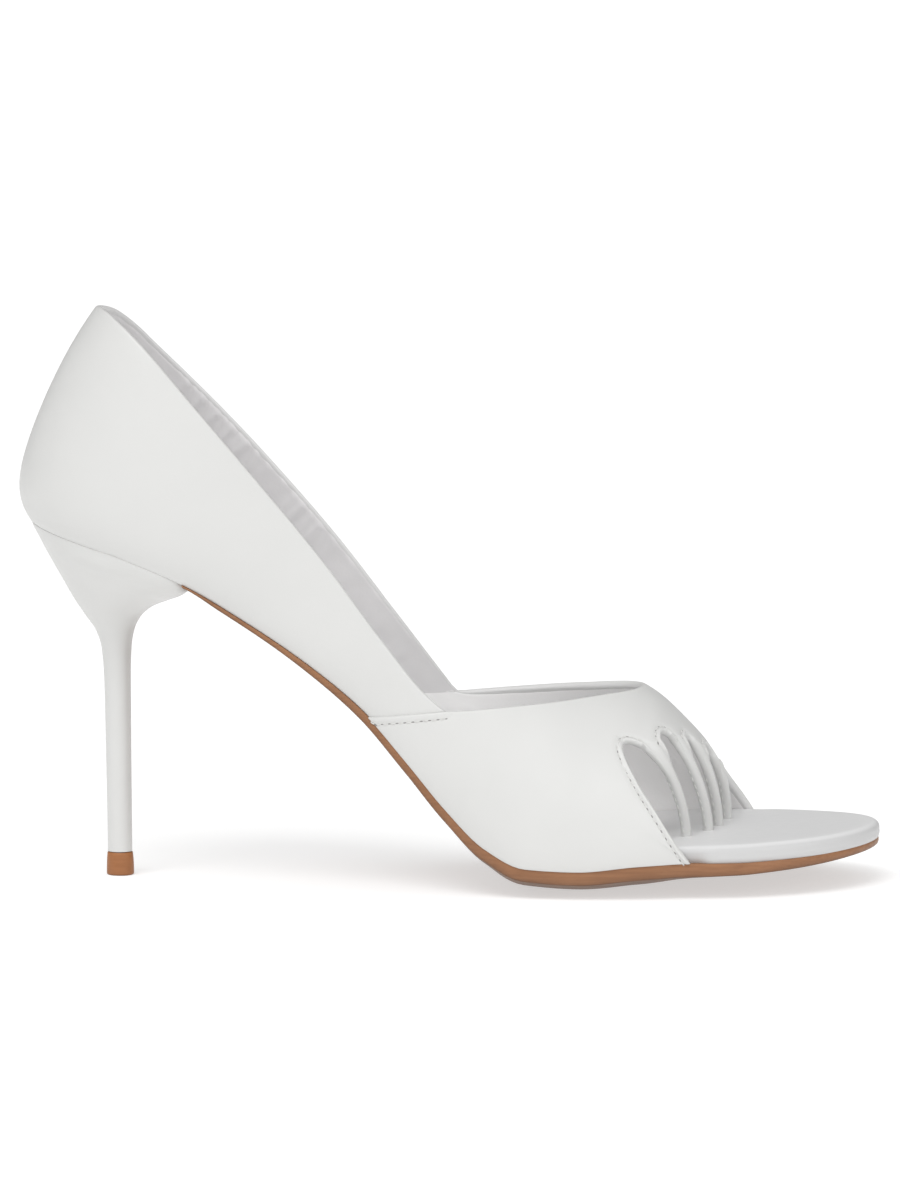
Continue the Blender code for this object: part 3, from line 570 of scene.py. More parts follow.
class Sheet:
    """Points and faces collected for one mesh; points that coincide are made once."""

    def __init__(self):
        self.points, self.faces, self.indices, self.known = [], [], [], {}

    def add(self, point):
        key = tuple(np.round(point, 4))
        if key not in self.known:
            self.known[key] = len(self.points)
            self.points.append(point)
        return self.known[key]

    def rows(self, grid):
        return [[self.add(p) for p in row] for row in grid]

    def face(self, corners, index=0):
        """A face without repeated corners; faces that vanish are left out."""
        kept = [c for i, c in enumerate(corners) if c != corners[i - 1]]
        if len(set(kept)) == len(kept) and len(kept) > 2:
            self.faces.append(tuple(kept))
            self.indices.append(index)

    def bridge(self, first, second, closed=False, index=0):
        count = len(first)
        for i in range(count if closed else count - 1):
            k = (i + 1) % count
            self.face((first[i], first[k], second[k], second[i]), index)

    def join(self, rows, closed=False, flip=False):
        """Bridges each row to the next one."""
        for first, second in zip(rows, rows[1:]):
            self.bridge(*((second, first) if flip else (first, second)), closed)

    def tube(self, rings):
        """A tube through rings, with a flat face at each end."""
        rows = self.rows(rings)
        self.join(rows, closed=True)
        self.face(rows[0][::-1])
        self.face(rows[-1])


# Columns of the upper, each from its lower or front edge up to the collar or throat

COLUMN_NAMES = ("turn", "foot_station", "foot_angle", "top_station", "top_angle")


def make_columns(*places, vamp, strap=-1):
    """Arrays of columns, their places given in the order of the names."""
    places = arrays(*(np.atleast_1d(v) for v in places))
    made = {name: np.array(v) for name, v in zip(COLUMN_NAMES, places)}
    made["vamp"] = np.full(len(places[0]), vamp)
    made["strap"] = np.full(len(places[0]), strap)
    return made


def join_columns(groups):
    return {name: np.concatenate([g[name] for g in groups]) for name in groups[0]}


def flip_columns(group):
    return {name: values[::-1] for name, values in group.items()}


def heel_columns():
    turns = -90.0 + 180.0 * np.arange(1, HEEL_TURNS) / HEEL_TURNS
    angle = collar_angle(SEAT_CENTRE, turns)
    return make_columns(turns, SEAT_CENTRE, 90.0, SEAT_CENTRE, angle, vamp=False)


def quarter_columns(turn):
    count = round((SEAM_FOOT_STATION - SEAT_CENTRE) / SIDE_STEP)
    share = np.arange(count + 1) / count
    top = SEAT_CENTRE + share * (JOINT_STATION - SEAT_CENTRE)
    angle = collar_angle(top, turn)
    angle[-1] = joint_angle(turn)
    foot = SEAT_CENTRE + share * (SEAM_FOOT_STATION - SEAT_CENTRE)
    return make_columns(turn, foot, 90.0, top, angle, vamp=False)


def vamp_side_columns(turn, corner_station):
    """Columns from the side seam to the vamp's corner, close together at both ends."""
    reach = corner_station - SEAM_FOOT_STATION
    start, corner = SEAM_COLUMNS[-1], reach - CORNER_REACH
    middle = np.linspace(start, corner, round((corner - start) / SIDE_STEP) + 1)[1:]
    end = np.linspace(corner, reach, round(CORNER_REACH / CORNER_STEP) + 1)[1:-1]
    feet = np.concatenate((SEAM_COLUMNS, middle, end))
    share = feet / reach
    angle = joint_angle(turn) + share * (90.0 * THROAT_SHARE - joint_angle(turn))
    top = np.maximum(throat_station(turn, angle), JOINT_STATION)
    return make_columns(turn, SEAM_FOOT_STATION + feet, 90.0, top, angle, vamp=True)


def front_group(places, strap=-1):
    """Columns from (signed angle, station) places on the front edge back to the throat."""
    groups = []
    for angle, station in places:
        turn = -90.0 if angle < 0.0 else 90.0
        top = abs(angle) * THROAT_SHARE
        column = (turn, station, abs(angle), throat_station(turn, top), top)
        groups.append(make_columns(*column, vamp=True, strap=strap))
    return groups


def between(start, end, across, along):
    """Places between two (angle, station) points, at shares of the way in each."""
    wide, long = end[0] - start[0], end[1] - start[1]
    return [(start[0] + a * wide, start[1] + b * long) for a, b in zip(across, along)]


def quarter_arch(start, end, rising):
    """Places along a quarter oval between two (angle, station) points, without its ends."""
    turns = np.pi / 2.0 * np.arange(1, ARCH_STEPS // 2) / (ARCH_STEPS // 2)
    across = 1.0 - np.cos(turns) if rising else np.sin(turns)
    along = np.sin(turns) if rising else 1.0 - np.cos(turns)
    return between(start, end, across, along)


def cut_places(side, controls):
    """Places up one side cut, from its corner to just short of the nearest strap."""
    points = bezier(controls, np.arange(CUT_STEPS) / CUT_STEPS)
    return [(side * angle, station) for station, angle in points]


def front_columns():
    """Columns along the whole front edge, from the lateral to the medial corner."""
    made = front_group(cut_places(-1.0, LATERAL_CUT))
    spread = np.arange(STRAP_SPAN + 1) / STRAP_SPAN
    crown = None
    for number, row in enumerate(STRAPS):
        strap = dict(zip(STRAP_COLUMNS, row))
        near = (strap["root_angle"] - STRAP_ROOT_HALF_ANGLE, strap["near_station"])
        far = (strap["root_angle"] + STRAP_ROOT_HALF_ANGLE, strap["far_station"])
        if crown:
            made += front_group(quarter_arch(crown, near, False))
        made += front_group(between(near, far, spread, spread), number)
        if strap["crown_angle"] is not None:
            crown = (strap["crown_angle"], strap["crown_station"])
            made += front_group(quarter_arch(far, crown, True) + [crown])
    return join_columns(made + front_group(cut_places(1.0, MEDIAL_CUT))[::-1])


def upper_columns():
    """All columns in one loop: the lateral side, the heel, the medial side and the front."""
    return join_columns([
        flip_columns(vamp_side_columns(-90.0, LATERAL_CUT[0][0])),
        flip_columns(quarter_columns(-90.0)),
        heel_columns(),
        quarter_columns(90.0),
        vamp_side_columns(90.0, MEDIAL_CUT[0][0]),
        flip_columns(front_columns()),
    ])


COLUMNS = upper_columns()
COUNT = len(COLUMNS["turn"])
STRAP_OF = COLUMNS["strap"]
IN_VAMP = COLUMNS["vamp"]
IS_FRONT = COLUMNS["foot_angle"] < 89.999


def open_edge():
    """Marks the columns whose foot lies on the open front edge, with the ends of strap roots."""
    before, after = np.roll(STRAP_OF, 1), np.roll(STRAP_OF, -1)
    inside = (STRAP_OF >= 0) & (before == STRAP_OF) & (after == STRAP_OF)
    front = IS_FRONT | np.roll(IS_FRONT, 1) | np.roll(IS_FRONT, -1)
    return front & ~inside


ON_EDGE = open_edge()


def seam_places(turn):
    """The side seam, straight from the sole to the joint of collar and throat, and its bend away
    from an even change of angle."""
    share = np.linspace(0.0, 1.0, SEAM_POINT_COUNT)
    station = SEAM_FOOT_STATION + share * (JOINT_STATION - SEAM_FOOT_STATION)
    even = 90.0 + share * (joint_angle(turn) - 90.0)
    ends = skin(station[[0, -1]], turn, even[[0, -1]])

    def over_line(angle):
        point = skin(station, turn, angle)
        along = (point[..., 0] - ends[0, 0]) / (ends[1, 0] - ends[0, 0])
        return ends[0, 2] + along * (ends[1, 2] - ends[0, 2]) - point[..., 2]

    angle = solve(over_line, even - SEAM_SEARCH, np.minimum(even + SEAM_SEARCH, 90.0))
    return share, station, angle, angle - even


SEAM_PLACES = {turn: seam_places(turn) for turn in (-90.0, 90.0)}
FROM_SEAM_FOOT = np.abs(COLUMNS["foot_station"] - SEAM_FOOT_STATION)


def seam_bend(share):
    """How the columns beside a side seam bend with it, in degrees at their shares."""
    bend = np.zeros(share.shape)
    near = 1.0 - blend(0.0, SEAM_BEND_REACH, FROM_SEAM_FOOT)
    for turn, (grid, _, _, bow) in SEAM_PLACES.items():
        picks = (COLUMNS["turn"] == turn) & ~IS_FRONT
        bend[picks] = near[picks, None] * np.interp(share[picks], grid, bow)
    return bend


def at_share(share):
    """(station, turn, angle) along every column at shares of the way from its foot to its top."""
    turn, foot, foot_angle, top, top_angle = (COLUMNS[name][:, None] for name in COLUMN_NAMES)
    station = foot + share * (top - foot)
    angle = foot_angle + share * (top_angle - foot_angle)
    angle = angle + seam_bend(np.broadcast_to(share, station.shape))
    return station, np.broadcast_to(turn, station.shape), angle


def edge_slant():
    """The sine between each column and the front edge it starts from."""
    feet = skin(COLUMNS["foot_station"], COLUMNS["turn"], COLUMNS["foot_angle"])
    ahead = skin(*(v[:, 0] for v in at_share(np.full((COUNT, 1), SLANT_SHARE)))) - feet
    tangent = unit(np.roll(feet, -1, axis=0) - np.roll(feet, 1, axis=0))
    sine = np.linalg.norm(np.cross(unit(ahead), tangent), axis=-1)
    window = range(-SLANT_SPREAD, SLANT_SPREAD + 1)
    smooth = sum(np.roll(sine, k) for k in window) / len(window)
    return np.where(IS_FRONT, np.clip(smooth, LEAST_SLANT, 1.0), 1.0)


EDGE_SLANT = edge_slant()


def column_rows():
    """Shares of the rows up each column, close together at its ends, with their distances."""
    fine = np.linspace(0.0, 1.0, RUN_POINTS)
    points = skin(*at_share(np.broadcast_to(fine, (COUNT, len(fine)))))
    run = np.linalg.norm(np.diff(points, axis=1), axis=-1)
    run = np.concatenate((np.zeros((COUNT, 1)), np.cumsum(run, axis=1)), axis=1)
    shares, from_foot, from_top = [], [], []
    for i in range(COUNT):
        length = run[i, -1]
        low = np.array(FRONT_ROWS) / EDGE_SLANT[i] if IS_FRONT[i] else np.array(SIDE_ROWS)
        low = low * min(1.0, MOST_FOOT_SHARE * length / low[-1])
        high = length - np.array(TOP_ROWS) * min(1.0, MOST_TOP_SHARE * length / TOP_ROWS[0])
        middle = np.linspace(low[-1], high[0], MIDDLE_ROWS + 2)[1:-1]
        places = np.concatenate((low, middle, high))
        shares.append(np.interp(places, run[i], fine))
        from_foot.append(places)
        from_top.append(length - places)
    return np.array(shares), np.array(from_foot), np.array(from_top)


SHARES, FROM_FOOT, FROM_TOP = column_rows()
PLACES = at_share(SHARES)
BASE = skin(*PLACES)


def distance_to(line, points):
    """Distance of points from the nearest point of a densely set line."""
    tree = KDTree(len(line))
    for i, p in enumerate(line):
        tree.insert(Vector(p), i)
    tree.balance()
    flat = points.reshape(-1, 3)
    return np.array([tree.find(Vector(p))[2] for p in flat]).reshape(points.shape[:-1])


def densify(points, step=0.12):
    """A polyline with points set close together."""
    made = [points[:1]]
    for a, b in zip(points, points[1:]):
        count = max(int(np.linalg.norm(b - a) / step), 1)
        made.append(a + (b - a) * (np.arange(1, count + 1) / count)[:, None])
    return np.concatenate(made)


def same_strap(i, k):
    """Whether two columns stand on the root of one strap."""
    return STRAP_OF[i] >= 0 and STRAP_OF[i] == STRAP_OF[k]


def open_edge_lines():
    """The open stretches of the front edge, as lists of column numbers."""
    lines, current = [], []
    for i in list(range(COUNT)) + [0]:
        if ON_EDGE[i] and not (current and same_strap(current[-1], i)):
            current.append(i)
            continue
        if len(current) > 2:
            lines.append(current)
        current = [i] if ON_EDGE[i] else []
    return lines


EDGE_LINES = open_edge_lines()
FRONT_EDGE = np.concatenate([densify(BASE[line, 0]) for line in EDGE_LINES])

# The vamp's lapped edge on each side, from the sole to the joint of collar and throat
SEAMS = [(station, np.full_like(station, turn), angle)
         for turn, (_, station, angle, _) in SEAM_PLACES.items()]
SEAM_POINTS = np.concatenate([densify(skin(*seam)) for seam in SEAMS])


def wall_offsets():
    """Offsets of the outer and inner face from the last, with every edge rounded or rolled."""
    vamp = IN_VAMP[:, None]
    from_edge = np.where(vamp, distance_to(FRONT_EDGE, BASE), NOT_NEAR)
    from_seam = np.where(vamp, distance_to(SEAM_POINTS, BASE), NOT_NEAR)
    outer = np.where(vamp, LAP_PROFILE(from_seam), 0.0)
    middle = (outer + INNER_FACE) / 2.0
    half = (outer - INNER_FACE) / 2.0
    top_round = rounded(FROM_TOP, TOP_ROUND)
    rim = RIM_PROFILE(from_edge) / RIM[-1][1]
    tuck = FOOT_TUCK * (1.0 - np.clip(FROM_FOOT / FOOT_TUCK_REACH, 0.0, 1.0)) ** 2
    outer = middle + half * top_round * rim - np.where(IS_FRONT[:, None], 0.0, tuck)
    inner = middle - half * top_round * rounded(from_edge, RIM_INSIDE_ROUND)
    return outer, inner, from_edge


def flat_footed_normals():
    """Normals of the last, level along the lower edge so that it stays flat."""
    normals = skin_normal(*PLACES)
    level = np.where(IS_FRONT[:, None], 1.0, blend(0.0, FLAT_FOOT_REACH, FROM_FOOT))
    low = blend(0.0, FLAT_FOOT_REACH, BASE[..., 2] - LAST["feather"](PLACES[0]))
    normals[..., 2] *= np.where(IN_VAMP[:, None], low, level)
    return unit(normals)


NORMALS = flat_footed_normals()
OUTER_OFFSET, INNER_OFFSET, FROM_EDGE = wall_offsets()


def soft_swell(points):
    """Slow unevenness of hand-lasted leather, a few hundredths of a millimetre."""
    made = [sum(height * noise.noise(Vector(p) / size) for height, size in SWELLS)
            for p in points.reshape(-1, 3)]
    return np.array(made).reshape(points.shape[:-1])


def strap_frame(number, root_near, root_far):
    """Centre line, directions and sizes down a strap, from its root to its foot in the footbed."""
    strap = dict(zip(STRAP_COLUMNS, STRAPS[number]))
    root = (root_near + root_far) / 2.0
    across0 = unit(root_far - root_near)
    foot_height = float(insole_top(strap["foot_station"]))
    foot = np.array((strap["foot_station"], strap["foot_side"], foot_height))
    length = np.linalg.norm(foot - root)
    station = (strap["near_station"] + strap["far_station"]) / 2.0
    turn, angle = -90.0 if strap["root_angle"] < 0.0 else 90.0, abs(strap["root_angle"])
    forward = unit(skin(station + 1.0, turn, angle) - skin(station, turn, angle))
    down = unit(forward + (foot - root) / length)
    controls = (
        root,
        root + down * length * STRAP_START_HANDLE,
        foot + np.array((0.0, 0.0, length * STRAP_FOOT_HANDLE)),
        foot - np.array((0.0, 0.0, STRAP_SINK)),
    )
    t = np.linspace(0.0, 1.0, STRAP_RINGS + 1)
    centre = bezier(controls, t)
    ahead, behind = np.minimum(t + 0.01, 1.0), np.maximum(t - 0.01, 0.0)
    tangent = unit(bezier(controls, ahead) - bezier(controls, behind))
    across = (1.0 - t)[:, None] * across0 + t[:, None] * np.array((0.0, -1.0, 0.0))
    normal = unit(np.cross(tangent, across))
    across = unit(np.cross(normal, tangent))
    return t, centre, tangent, across, normal


def strap_rows(number, root_outer, root_inner):
    """Rings down a strap. It leaves the vamp's wall flat and rolls up into a round cord."""
    t, centre, tangent, across, normal = strap_frame(number, root_outer[0], root_outer[-1])
    ring = np.concatenate((root_outer, root_inner[-2:0:-1]))
    local = ring - centre[0]
    a0, n0, t0 = local @ across[0], local @ normal[0], local @ tangent[0]
    if n0[STRAP_SPAN // 2] < 0.0:
        normal, n0 = -normal, -n0
    turn = np.pi * np.arange(2 * STRAP_SPAN) / STRAP_SPAN
    sine = np.sin(turn)
    round_a = -np.cos(turn) * STRAP_WIDTH / 2.0 * np.sign(a0[STRAP_SPAN] - a0[0])
    round_n = np.sign(sine) * np.abs(sine) ** STRAP_SQUARENESS * STRAP_THICKNESS / 2.0
    settle = blend(0.0, STRAP_ROLL_SHARE, t)[:, None]
    part_a = (1.0 - settle) * a0 + settle * round_a
    part_n = (1.0 - settle) * n0 + settle * round_n
    part_t = (1.0 - settle) * t0
    rows = centre[:, None] + part_a[..., None] * across[:, None]
    rows = rows + part_n[..., None] * normal[:, None]
    return rows + part_t[..., None] * tangent[:, None], (t, centre, across, normal)


STRAP_FRAMES = []


def make_upper(face, fold):
    """Vamp, quarter and toe straps as one wall with a real thickness."""
    swell = soft_swell(BASE) * blend(*SWELL_FROM_EDGE, FROM_EDGE)
    swell = swell * blend(*SWELL_FROM_FOOT, FROM_FOOT)
    outer_points = BASE + (OUTER_OFFSET + swell)[..., None] * NORMALS
    inner_points = BASE + (INNER_OFFSET + swell)[..., None] * NORMALS
    sheet = Sheet()
    merged = ON_EDGE & IS_FRONT
    inner_points[merged, 0] = outer_points[merged, 0]
    inner_points[:, -1] = outer_points[:, -1]
    outer, inner = sheet.rows(outer_points), sheet.rows(inner_points)
    for i in range(COUNT):
        k = (i + 1) % COUNT
        sheet.bridge(outer[i], outer[k])
        sheet.bridge(inner[k], inner[i], index=1)
        if not same_strap(i, k):
            sheet.face((outer[k][0], outer[i][0], inner[i][0], inner[k][0]))
    for number in range(len(STRAPS)):
        picks = np.flatnonzero(STRAP_OF == number)
        rings, strap = strap_rows(number, outer_points[picks, 0], inner_points[picks, 0])
        STRAP_FRAMES.append(strap)
        root = [outer[i][0] for i in picks] + [inner[i][0] for i in picks[-2:0:-1]]
        rows = [root] + sheet.rows(rings[1:])
        sheet.join(rows, closed=True)
        sheet.face(rows[-1])
    make_piece("upper_shell", sheet, [face, fold], "upper", sharp=55.0)


# Lining


def finer_columns(parts):
    """Numbers of the columns with more between them on the quarter's sides, for the creases."""
    side = (np.abs(COLUMNS["turn"]) > SIDE_TURN) & ~IN_VAMP
    places = []
    for i in range(COUNT):
        k = (i + 1) % COUNT
        split = side[i] and side[k] and COLUMNS["turn"][i] == COLUMNS["turn"][k]
        places += [i + part / parts for part in range(parts if split else 1)]
    places = np.array(places)
    low = places.astype(int)
    return low, (low + 1) % COUNT, (places - low)[:, None]


def wrinkles_at(point):
    """Height of the lining's wrinkles at a point."""
    c, s = WRINKLE_LEAN
    along, up = point[0] * c - point[2] * s, point[0] * s + point[2] * c
    return sum(height * noise.noise(Vector((along / a, point[1] / b, up / d)))
               for height, a, b, d in WRINKLES)


def make_lining(quarter, vamp):
    """A thin leather lining inside the wall, a little wrinkled below the collar, painted lighter
    inside the vamp.
    """
    run = FROM_FOOT[:, -1]
    start = np.where(IS_FRONT, LINING_FRONT_GAP / EDGE_SLANT, LINING_FOOT_GAP)
    start = np.minimum(start, LINING_MOST_GAP_SHARE * run)
    end = run - LINING_TOP_GAP
    lift = np.linspace(0.0, 1.0, LINING_ROWS)
    places = start[:, None] + lift[None, :] * (end - start)[:, None]
    share = np.stack([np.interp(places[i], FROM_FOOT[i], SHARES[i]) for i in range(COUNT)])
    station, turn, angle = at_share(share)
    base, normal = skin(station, turn, angle), skin_normal(station, turn, angle)
    deep = run[:, None] - places
    edge = np.minimum(places - start[:, None], end[:, None] - places)
    calm = blend(0.0, SEAM_CALM_REACH, FROM_SEAM_FOOT) * np.where(IN_VAMP, VAMP_CALM, 1.0)
    low, high, part = finer_columns(CREASE_PARTS)

    def finer(values, part):
        return values[low] * (1.0 - part) + values[high] * part

    station, deep, edge, calm = (finer(v, part) for v in (station, deep, edge, calm[:, None]))
    base, normal = (finer(v, part[..., None]) for v in (base, normal))
    in_vamp = IN_VAMP[low]
    sides = (np.abs(turn[low]) > SIDE_TURN) & ~in_vamp[:, None]
    wrinkle = np.array([[wrinkles_at(p) for p in column] for column in base])
    fade = 1.0 - WRINKLE_FADE_SHARE * blend(*WRINKLE_FADE, deep)
    wrinkle *= blend(*WRINKLE_START, deep) * fade
    for row in CREASES:
        crease = dict(zip(CREASE_COLUMNS, row))
        along = (station - crease["station"] + crease["slant"] * deep) / crease["width"]
        fade = 1.0 - blend(*CREASE_FADE, (deep - CREASE_TOP) / crease["length"])
        ends = blend(*CREASE_START, deep) * fade
        wrinkle -= np.where(sides, crease["height"] * np.exp(-along * along) * ends, 0.0)
    wrinkle *= calm
    more = LINING_THICKNESS - LINING_EDGE_THICKNESS
    thick = LINING_EDGE_THICKNESS + more * blend(0.0, LINING_EDGE_REACH, edge)
    depth = np.maximum(thick - wrinkle, LINING_LEAST_THICKNESS) + LINING_FACE_SINK
    offset = INNER_FACE + LINING_FACE_SINK - depth * rounded(edge, LINING_EDGE_ROUND)
    sheet = Sheet()
    outside = sheet.rows(base + (INNER_FACE + LINING_BACK_SINK) * normal)
    inside = sheet.rows(base + offset[..., None] * normal)
    for i in range(len(low)):
        k = (i + 1) % len(low)
        # faces wholly in the vamp take the brightened vamp lining: painted light in the dim toe
        index = int(in_vamp[i] and in_vamp[k])
        sheet.bridge(outside[i], outside[k], index=index)
        sheet.bridge(inside[k], inside[i], index=index)
        sheet.face((outside[i][-1], outside[k][-1], inside[k][-1], inside[i][-1]), index)
        sheet.face((outside[k][0], outside[i][0], inside[i][0], inside[k][0]), index)
    make_piece("lining", sheet, [quarter, vamp])


# Stitches


def surface_step(station, turn, angle, step):
    """Places a short step away along the last."""
    small = 0.4
    by_station = skin(station + small, turn, angle) - skin(station - small, turn, angle)
    by_angle = skin(station, turn, angle + small) - skin(station, turn, angle - small)
    by_station, by_angle = by_station / (2.0 * small), by_angle / (2.0 * small)
    ss, aa = (by_station * by_station).sum(-1), (by_angle * by_angle).sum(-1)
    sa = (by_station * by_angle).sum(-1)
    sx, ax = (step * by_station).sum(-1), (step * by_angle).sum(-1)
    det = ss * aa - sa * sa
    return station + (sx * aa - ax * sa) / det, turn, angle + (ax * ss - sx * sa) / det


def offset_line(station, turn, angle, distance, towards):
    """Places beside a line on the last, at a distance on the side that a point lies on."""
    points = skin(station, turn, angle)
    tangent = unit(np.gradient(points, axis=0))
    aside = unit(np.cross(skin_normal(station, turn, angle), tangent))
    middle = len(points) // 2
    if np.dot(aside[middle], towards - points[middle]) < 0.0:
        aside = -aside
    return surface_step(station, turn, angle, aside * distance)


def spaced(points, normals, pitch):
    """(place, direction, normal) at an even pitch along a line."""
    run = np.concatenate(([0.0], np.cumsum(np.linalg.norm(np.diff(points, axis=0), axis=-1))))
    count = max(int(run[-1] / pitch), 1)
    spots = (np.arange(count) + 0.5) * run[-1] / count
    small = 0.4

    def at(values, shift):
        return np.stack([np.interp(spots + shift, run, values[:, i]) for i in range(3)], -1)

    along = unit(at(points, small) - at(points, -small))
    return list(zip(at(points, 0.0), along, unit(at(normals, 0.0))))


def around(sides):
    return 2.0 * np.pi * np.arange(sides) / sides


def add_stitch(sheet, place, along, up):
    """One stitch: a short thread lying on the leather with its ends drawn in."""
    across = unit(np.cross(up, along))
    rings = []
    for s, thick, sink in STITCH_STEPS:
        centre = place + along * s * STITCH_LENGTH / 2.0 - up * sink
        radius = STITCH_RADIUS * thick
        rings.append([centre + radius * (math.cos(a) * across + math.sin(a) * up)
                      for a in around(STITCH_SIDES)])
    sheet.tube(rings)


def add_hole(sheet, place, along, up):
    """A needle hole: a small dish in the surface, coloured as painted shade."""
    across = unit(np.cross(up, along))
    oval = [HOLE_ACROSS * math.cos(a) * across + HOLE_ALONG * math.sin(a) * along
            for a in around(HOLE_SIDES)]
    rings = [[place + HOLE_RADIUS * wide * p + up * high for p in oval]
             for wide, high in HOLE_STEPS]
    sheet.tube([[p - up * HOLE_DEPTH for p in rings[0]]] + rings)


def stitch_lines():
    """Every sewn line, as points on the leather's face with their normals."""
    lines = []
    rim_lift = VAMP_STEP - RIM[-1][1] + float(RIM_PROFILE(RIM_STITCH_DISTANCE))
    for picks in EDGE_LINES:
        station, turn, angle = (np.array(v)[picks, 0] for v in PLACES)
        middle = len(picks) // 2
        behind = skin(station[middle] - 6.0, turn[middle], min(angle[middle] + 6.0, 90.0))
        lines.append((offset_line(station, turn, angle, RIM_STITCH_DISTANCE, behind), rim_lift))
    for seam in SEAMS:
        in_front = skin(SEAM_FOOT_STATION + 25.0, seam[1][0], 80.0)
        lap_lift = float(LAP_PROFILE(LAP_STITCH_DISTANCE))
        lines.append((offset_line(*seam, LAP_STITCH_DISTANCE, in_front), lap_lift))
    made = [(skin(*place) + lift * skin_normal(*place), skin_normal(*place))
            for place, lift in lines]
    first, last = STRAP_STITCH_SHARES
    sideways, inwards = STRAP_STITCH_LEAN
    for t, centre, across, normal in STRAP_FRAMES:
        back = across * np.sign(across[-1][1]) * -1.0
        aside = unit(back * sideways - normal * inwards)
        keep = (t > first) & (t < last)
        made.append(((centre + aside * (STRAP_WIDTH / 2.0 - STRAP_STITCH_SINK))[keep], aside[keep]))
    return made


def make_stitches(thread, hole_shade):
    threads, holes = Sheet(), Sheet()
    for points, normals in stitch_lines():
        for place, along, up in spaced(points, normals, STITCH_PITCH):
            add_stitch(threads, place + up * STITCH_LIFT, along, up)
            add_hole(holes, place + along * STITCH_PITCH / 2.0, along, up)
    make_piece("stitches", threads, [thread])
    # the needle holes' colour is painted shade
    make_piece("needle_holes", holes, [hole_shade])


# Sole pieces


def edge_stations(start):
    """Stations along the feather edge from a start to the tip, close together at the toe."""
    turns = np.radians(np.linspace(0.0, 90.0, TOE_POINTS))
    toe = TOE_START + (SHOE_LENGTH - TOE_START) * np.sin(turns)
    if start is not None:
        return np.concatenate((np.linspace(start, TOE_START, SOLE_BODY_POINTS)[:-1], toe))
    back = SEAT_BACK_REACH * math.cos(SEAT_PITCH)
    seat = SEAT_CENTRE - back * np.cos(np.radians(np.linspace(0.0, 90.0, SEAT_POINTS)))
    body = np.linspace(SEAT_CENTRE, TOE_START, WHOLE_BODY_POINTS)[1:-1]
    return np.concatenate((seat, body, toe))


def edge_loop(start, inset_at):
    """Plan of an edge, from its back along the lateral side to the tip and back along the medial
    side, with its inward directions and the number of points on a side."""
    station = edge_stations(start)
    near, far = outline(station)
    lateral = np.stack((station, near), -1)
    medial = np.stack((station, far), -1)
    loop = np.concatenate((lateral, medial[-2::-1]))
    tangent = unit(np.gradient(loop, axis=0))
    inward = np.stack((-tangent[:, 1], tangent[:, 0]), -1)
    count = len(station)
    if start is None:
        inward[0] = inward[-1] = (1.0, 0.0)
    else:
        inward[0], inward[-1] = (0.0, 1.0), (0.0, -1.0)
    inward[count - 1] = (-1.0, 0.0)
    return loop + inward * inset_at(loop, inward)[:, None], inward, count


def lifted(points, height):
    """Plan points with their heights."""
    return np.concatenate((points, height[:, None]), -1)


def cap(sheet, ring, count, height, steps, flip):
    """Closes a ring with rows across the shoe, their heights given by (points, share across)."""
    lateral, medial = ring[:count, None], ring[count - 1:][::-1, None]
    share = np.linspace(0.0, 1.0, steps + 1)
    across = lateral * (1.0 - share)[None, :, None] + medial * share[None, :, None]
    raised = across.copy()
    raised[:, 1:-1, 2] = height(across[:, 1:-1], (2.0 * share - 1.0)[1:-1])
    sheet.join(sheet.rows(raised), flip=flip)


def insole_inset(loop, inward):
    """The footbed's edge: inside the wall at the sides, out to the feather edge under the toes."""
    corner = np.where(inward[:, 1] > 0.0, LATERAL_CUT[0][0], MEDIAL_CUT[0][0])
    flare = blend(0.0, INSOLE_FLARE_LENGTH, loop[:, 0] - corner - INSOLE_FLARE_START)
    return INSOLE_SIDE_INSET + (INSOLE_TOE_INSET - INSOLE_SIDE_INSET) * flare


def make_footbed(material):
    """The leather-covered footbed, with a soft round edge where it shows under the toes."""
    plan, inward, count = edge_loop(None, insole_inset)
    hidden = insole_inset(plan, inward) - INSOLE_TOE_INSET
    covered = hidden / (INSOLE_SIDE_INSET - INSOLE_TOE_INSET)
    radius = INSOLE_SHAPE["edge_radius"](plan[:, 0])
    upright = INSOLE_SHAPE["thickness"](plan[:, 0]) - radius
    in_open = blend(*FOOTBED_OPEN, plan[:, 0])
    belly = FOOTBED_BELLY * in_open

    def ring(inset, up_share, radius_share):
        rise = upright * up_share + radius * radius_share
        swell = LAST["bulge"](plan[:, 0]) * (1.0 - np.exp(-rise / BULGE_RISE)) * covered
        points = plan + inward * (inset - FOOTBED_SWELL_SHARE * swell)[:, None]
        stretch = slope_stretch(points[:, 0])
        height = feather(points[:, 0]) + upright * up_share * stretch
        return lifted(points, height + radius * radius_share * stretch)

    rings = []
    for up in np.linspace(0.0, 1.0, 6):
        out = belly * math.sin(math.pi * min(up, FOOTBED_BELLY_TOP))
        rings.append(ring(FOOTBED_FOOT_INSET * (1.0 - up) ** 4 * in_open - out, up, 0.0))
    out = belly * math.sin(math.pi * FOOTBED_BELLY_TOP)
    for a in np.radians(np.linspace(10.0, 90.0, 9)):
        rings.append(ring(radius * (1.0 - math.cos(a)) - out * math.cos(a), 1.0, math.sin(a)))
    sheet = Sheet()
    sheet.join(sheet.rows(rings), closed=True)
    cap(sheet, rings[-1], count, lambda p, s: insole_top(p[..., 0]), 24, True)
    cap(sheet, rings[0], count, lambda p, s: feather(p[..., 0]), 4, False)
    make_piece("footbed", sheet, [material], node="insole", sharp=50.0)


def sole_inset(loop, inward):
    """The sole's ledge, which fades out round the toe."""
    return -OUTSOLE_LEDGE + (OUTSOLE_LEDGE + SOLE_TIP_INSET) * blend(*SOLE_TOE_FADE, loop[:, 0])


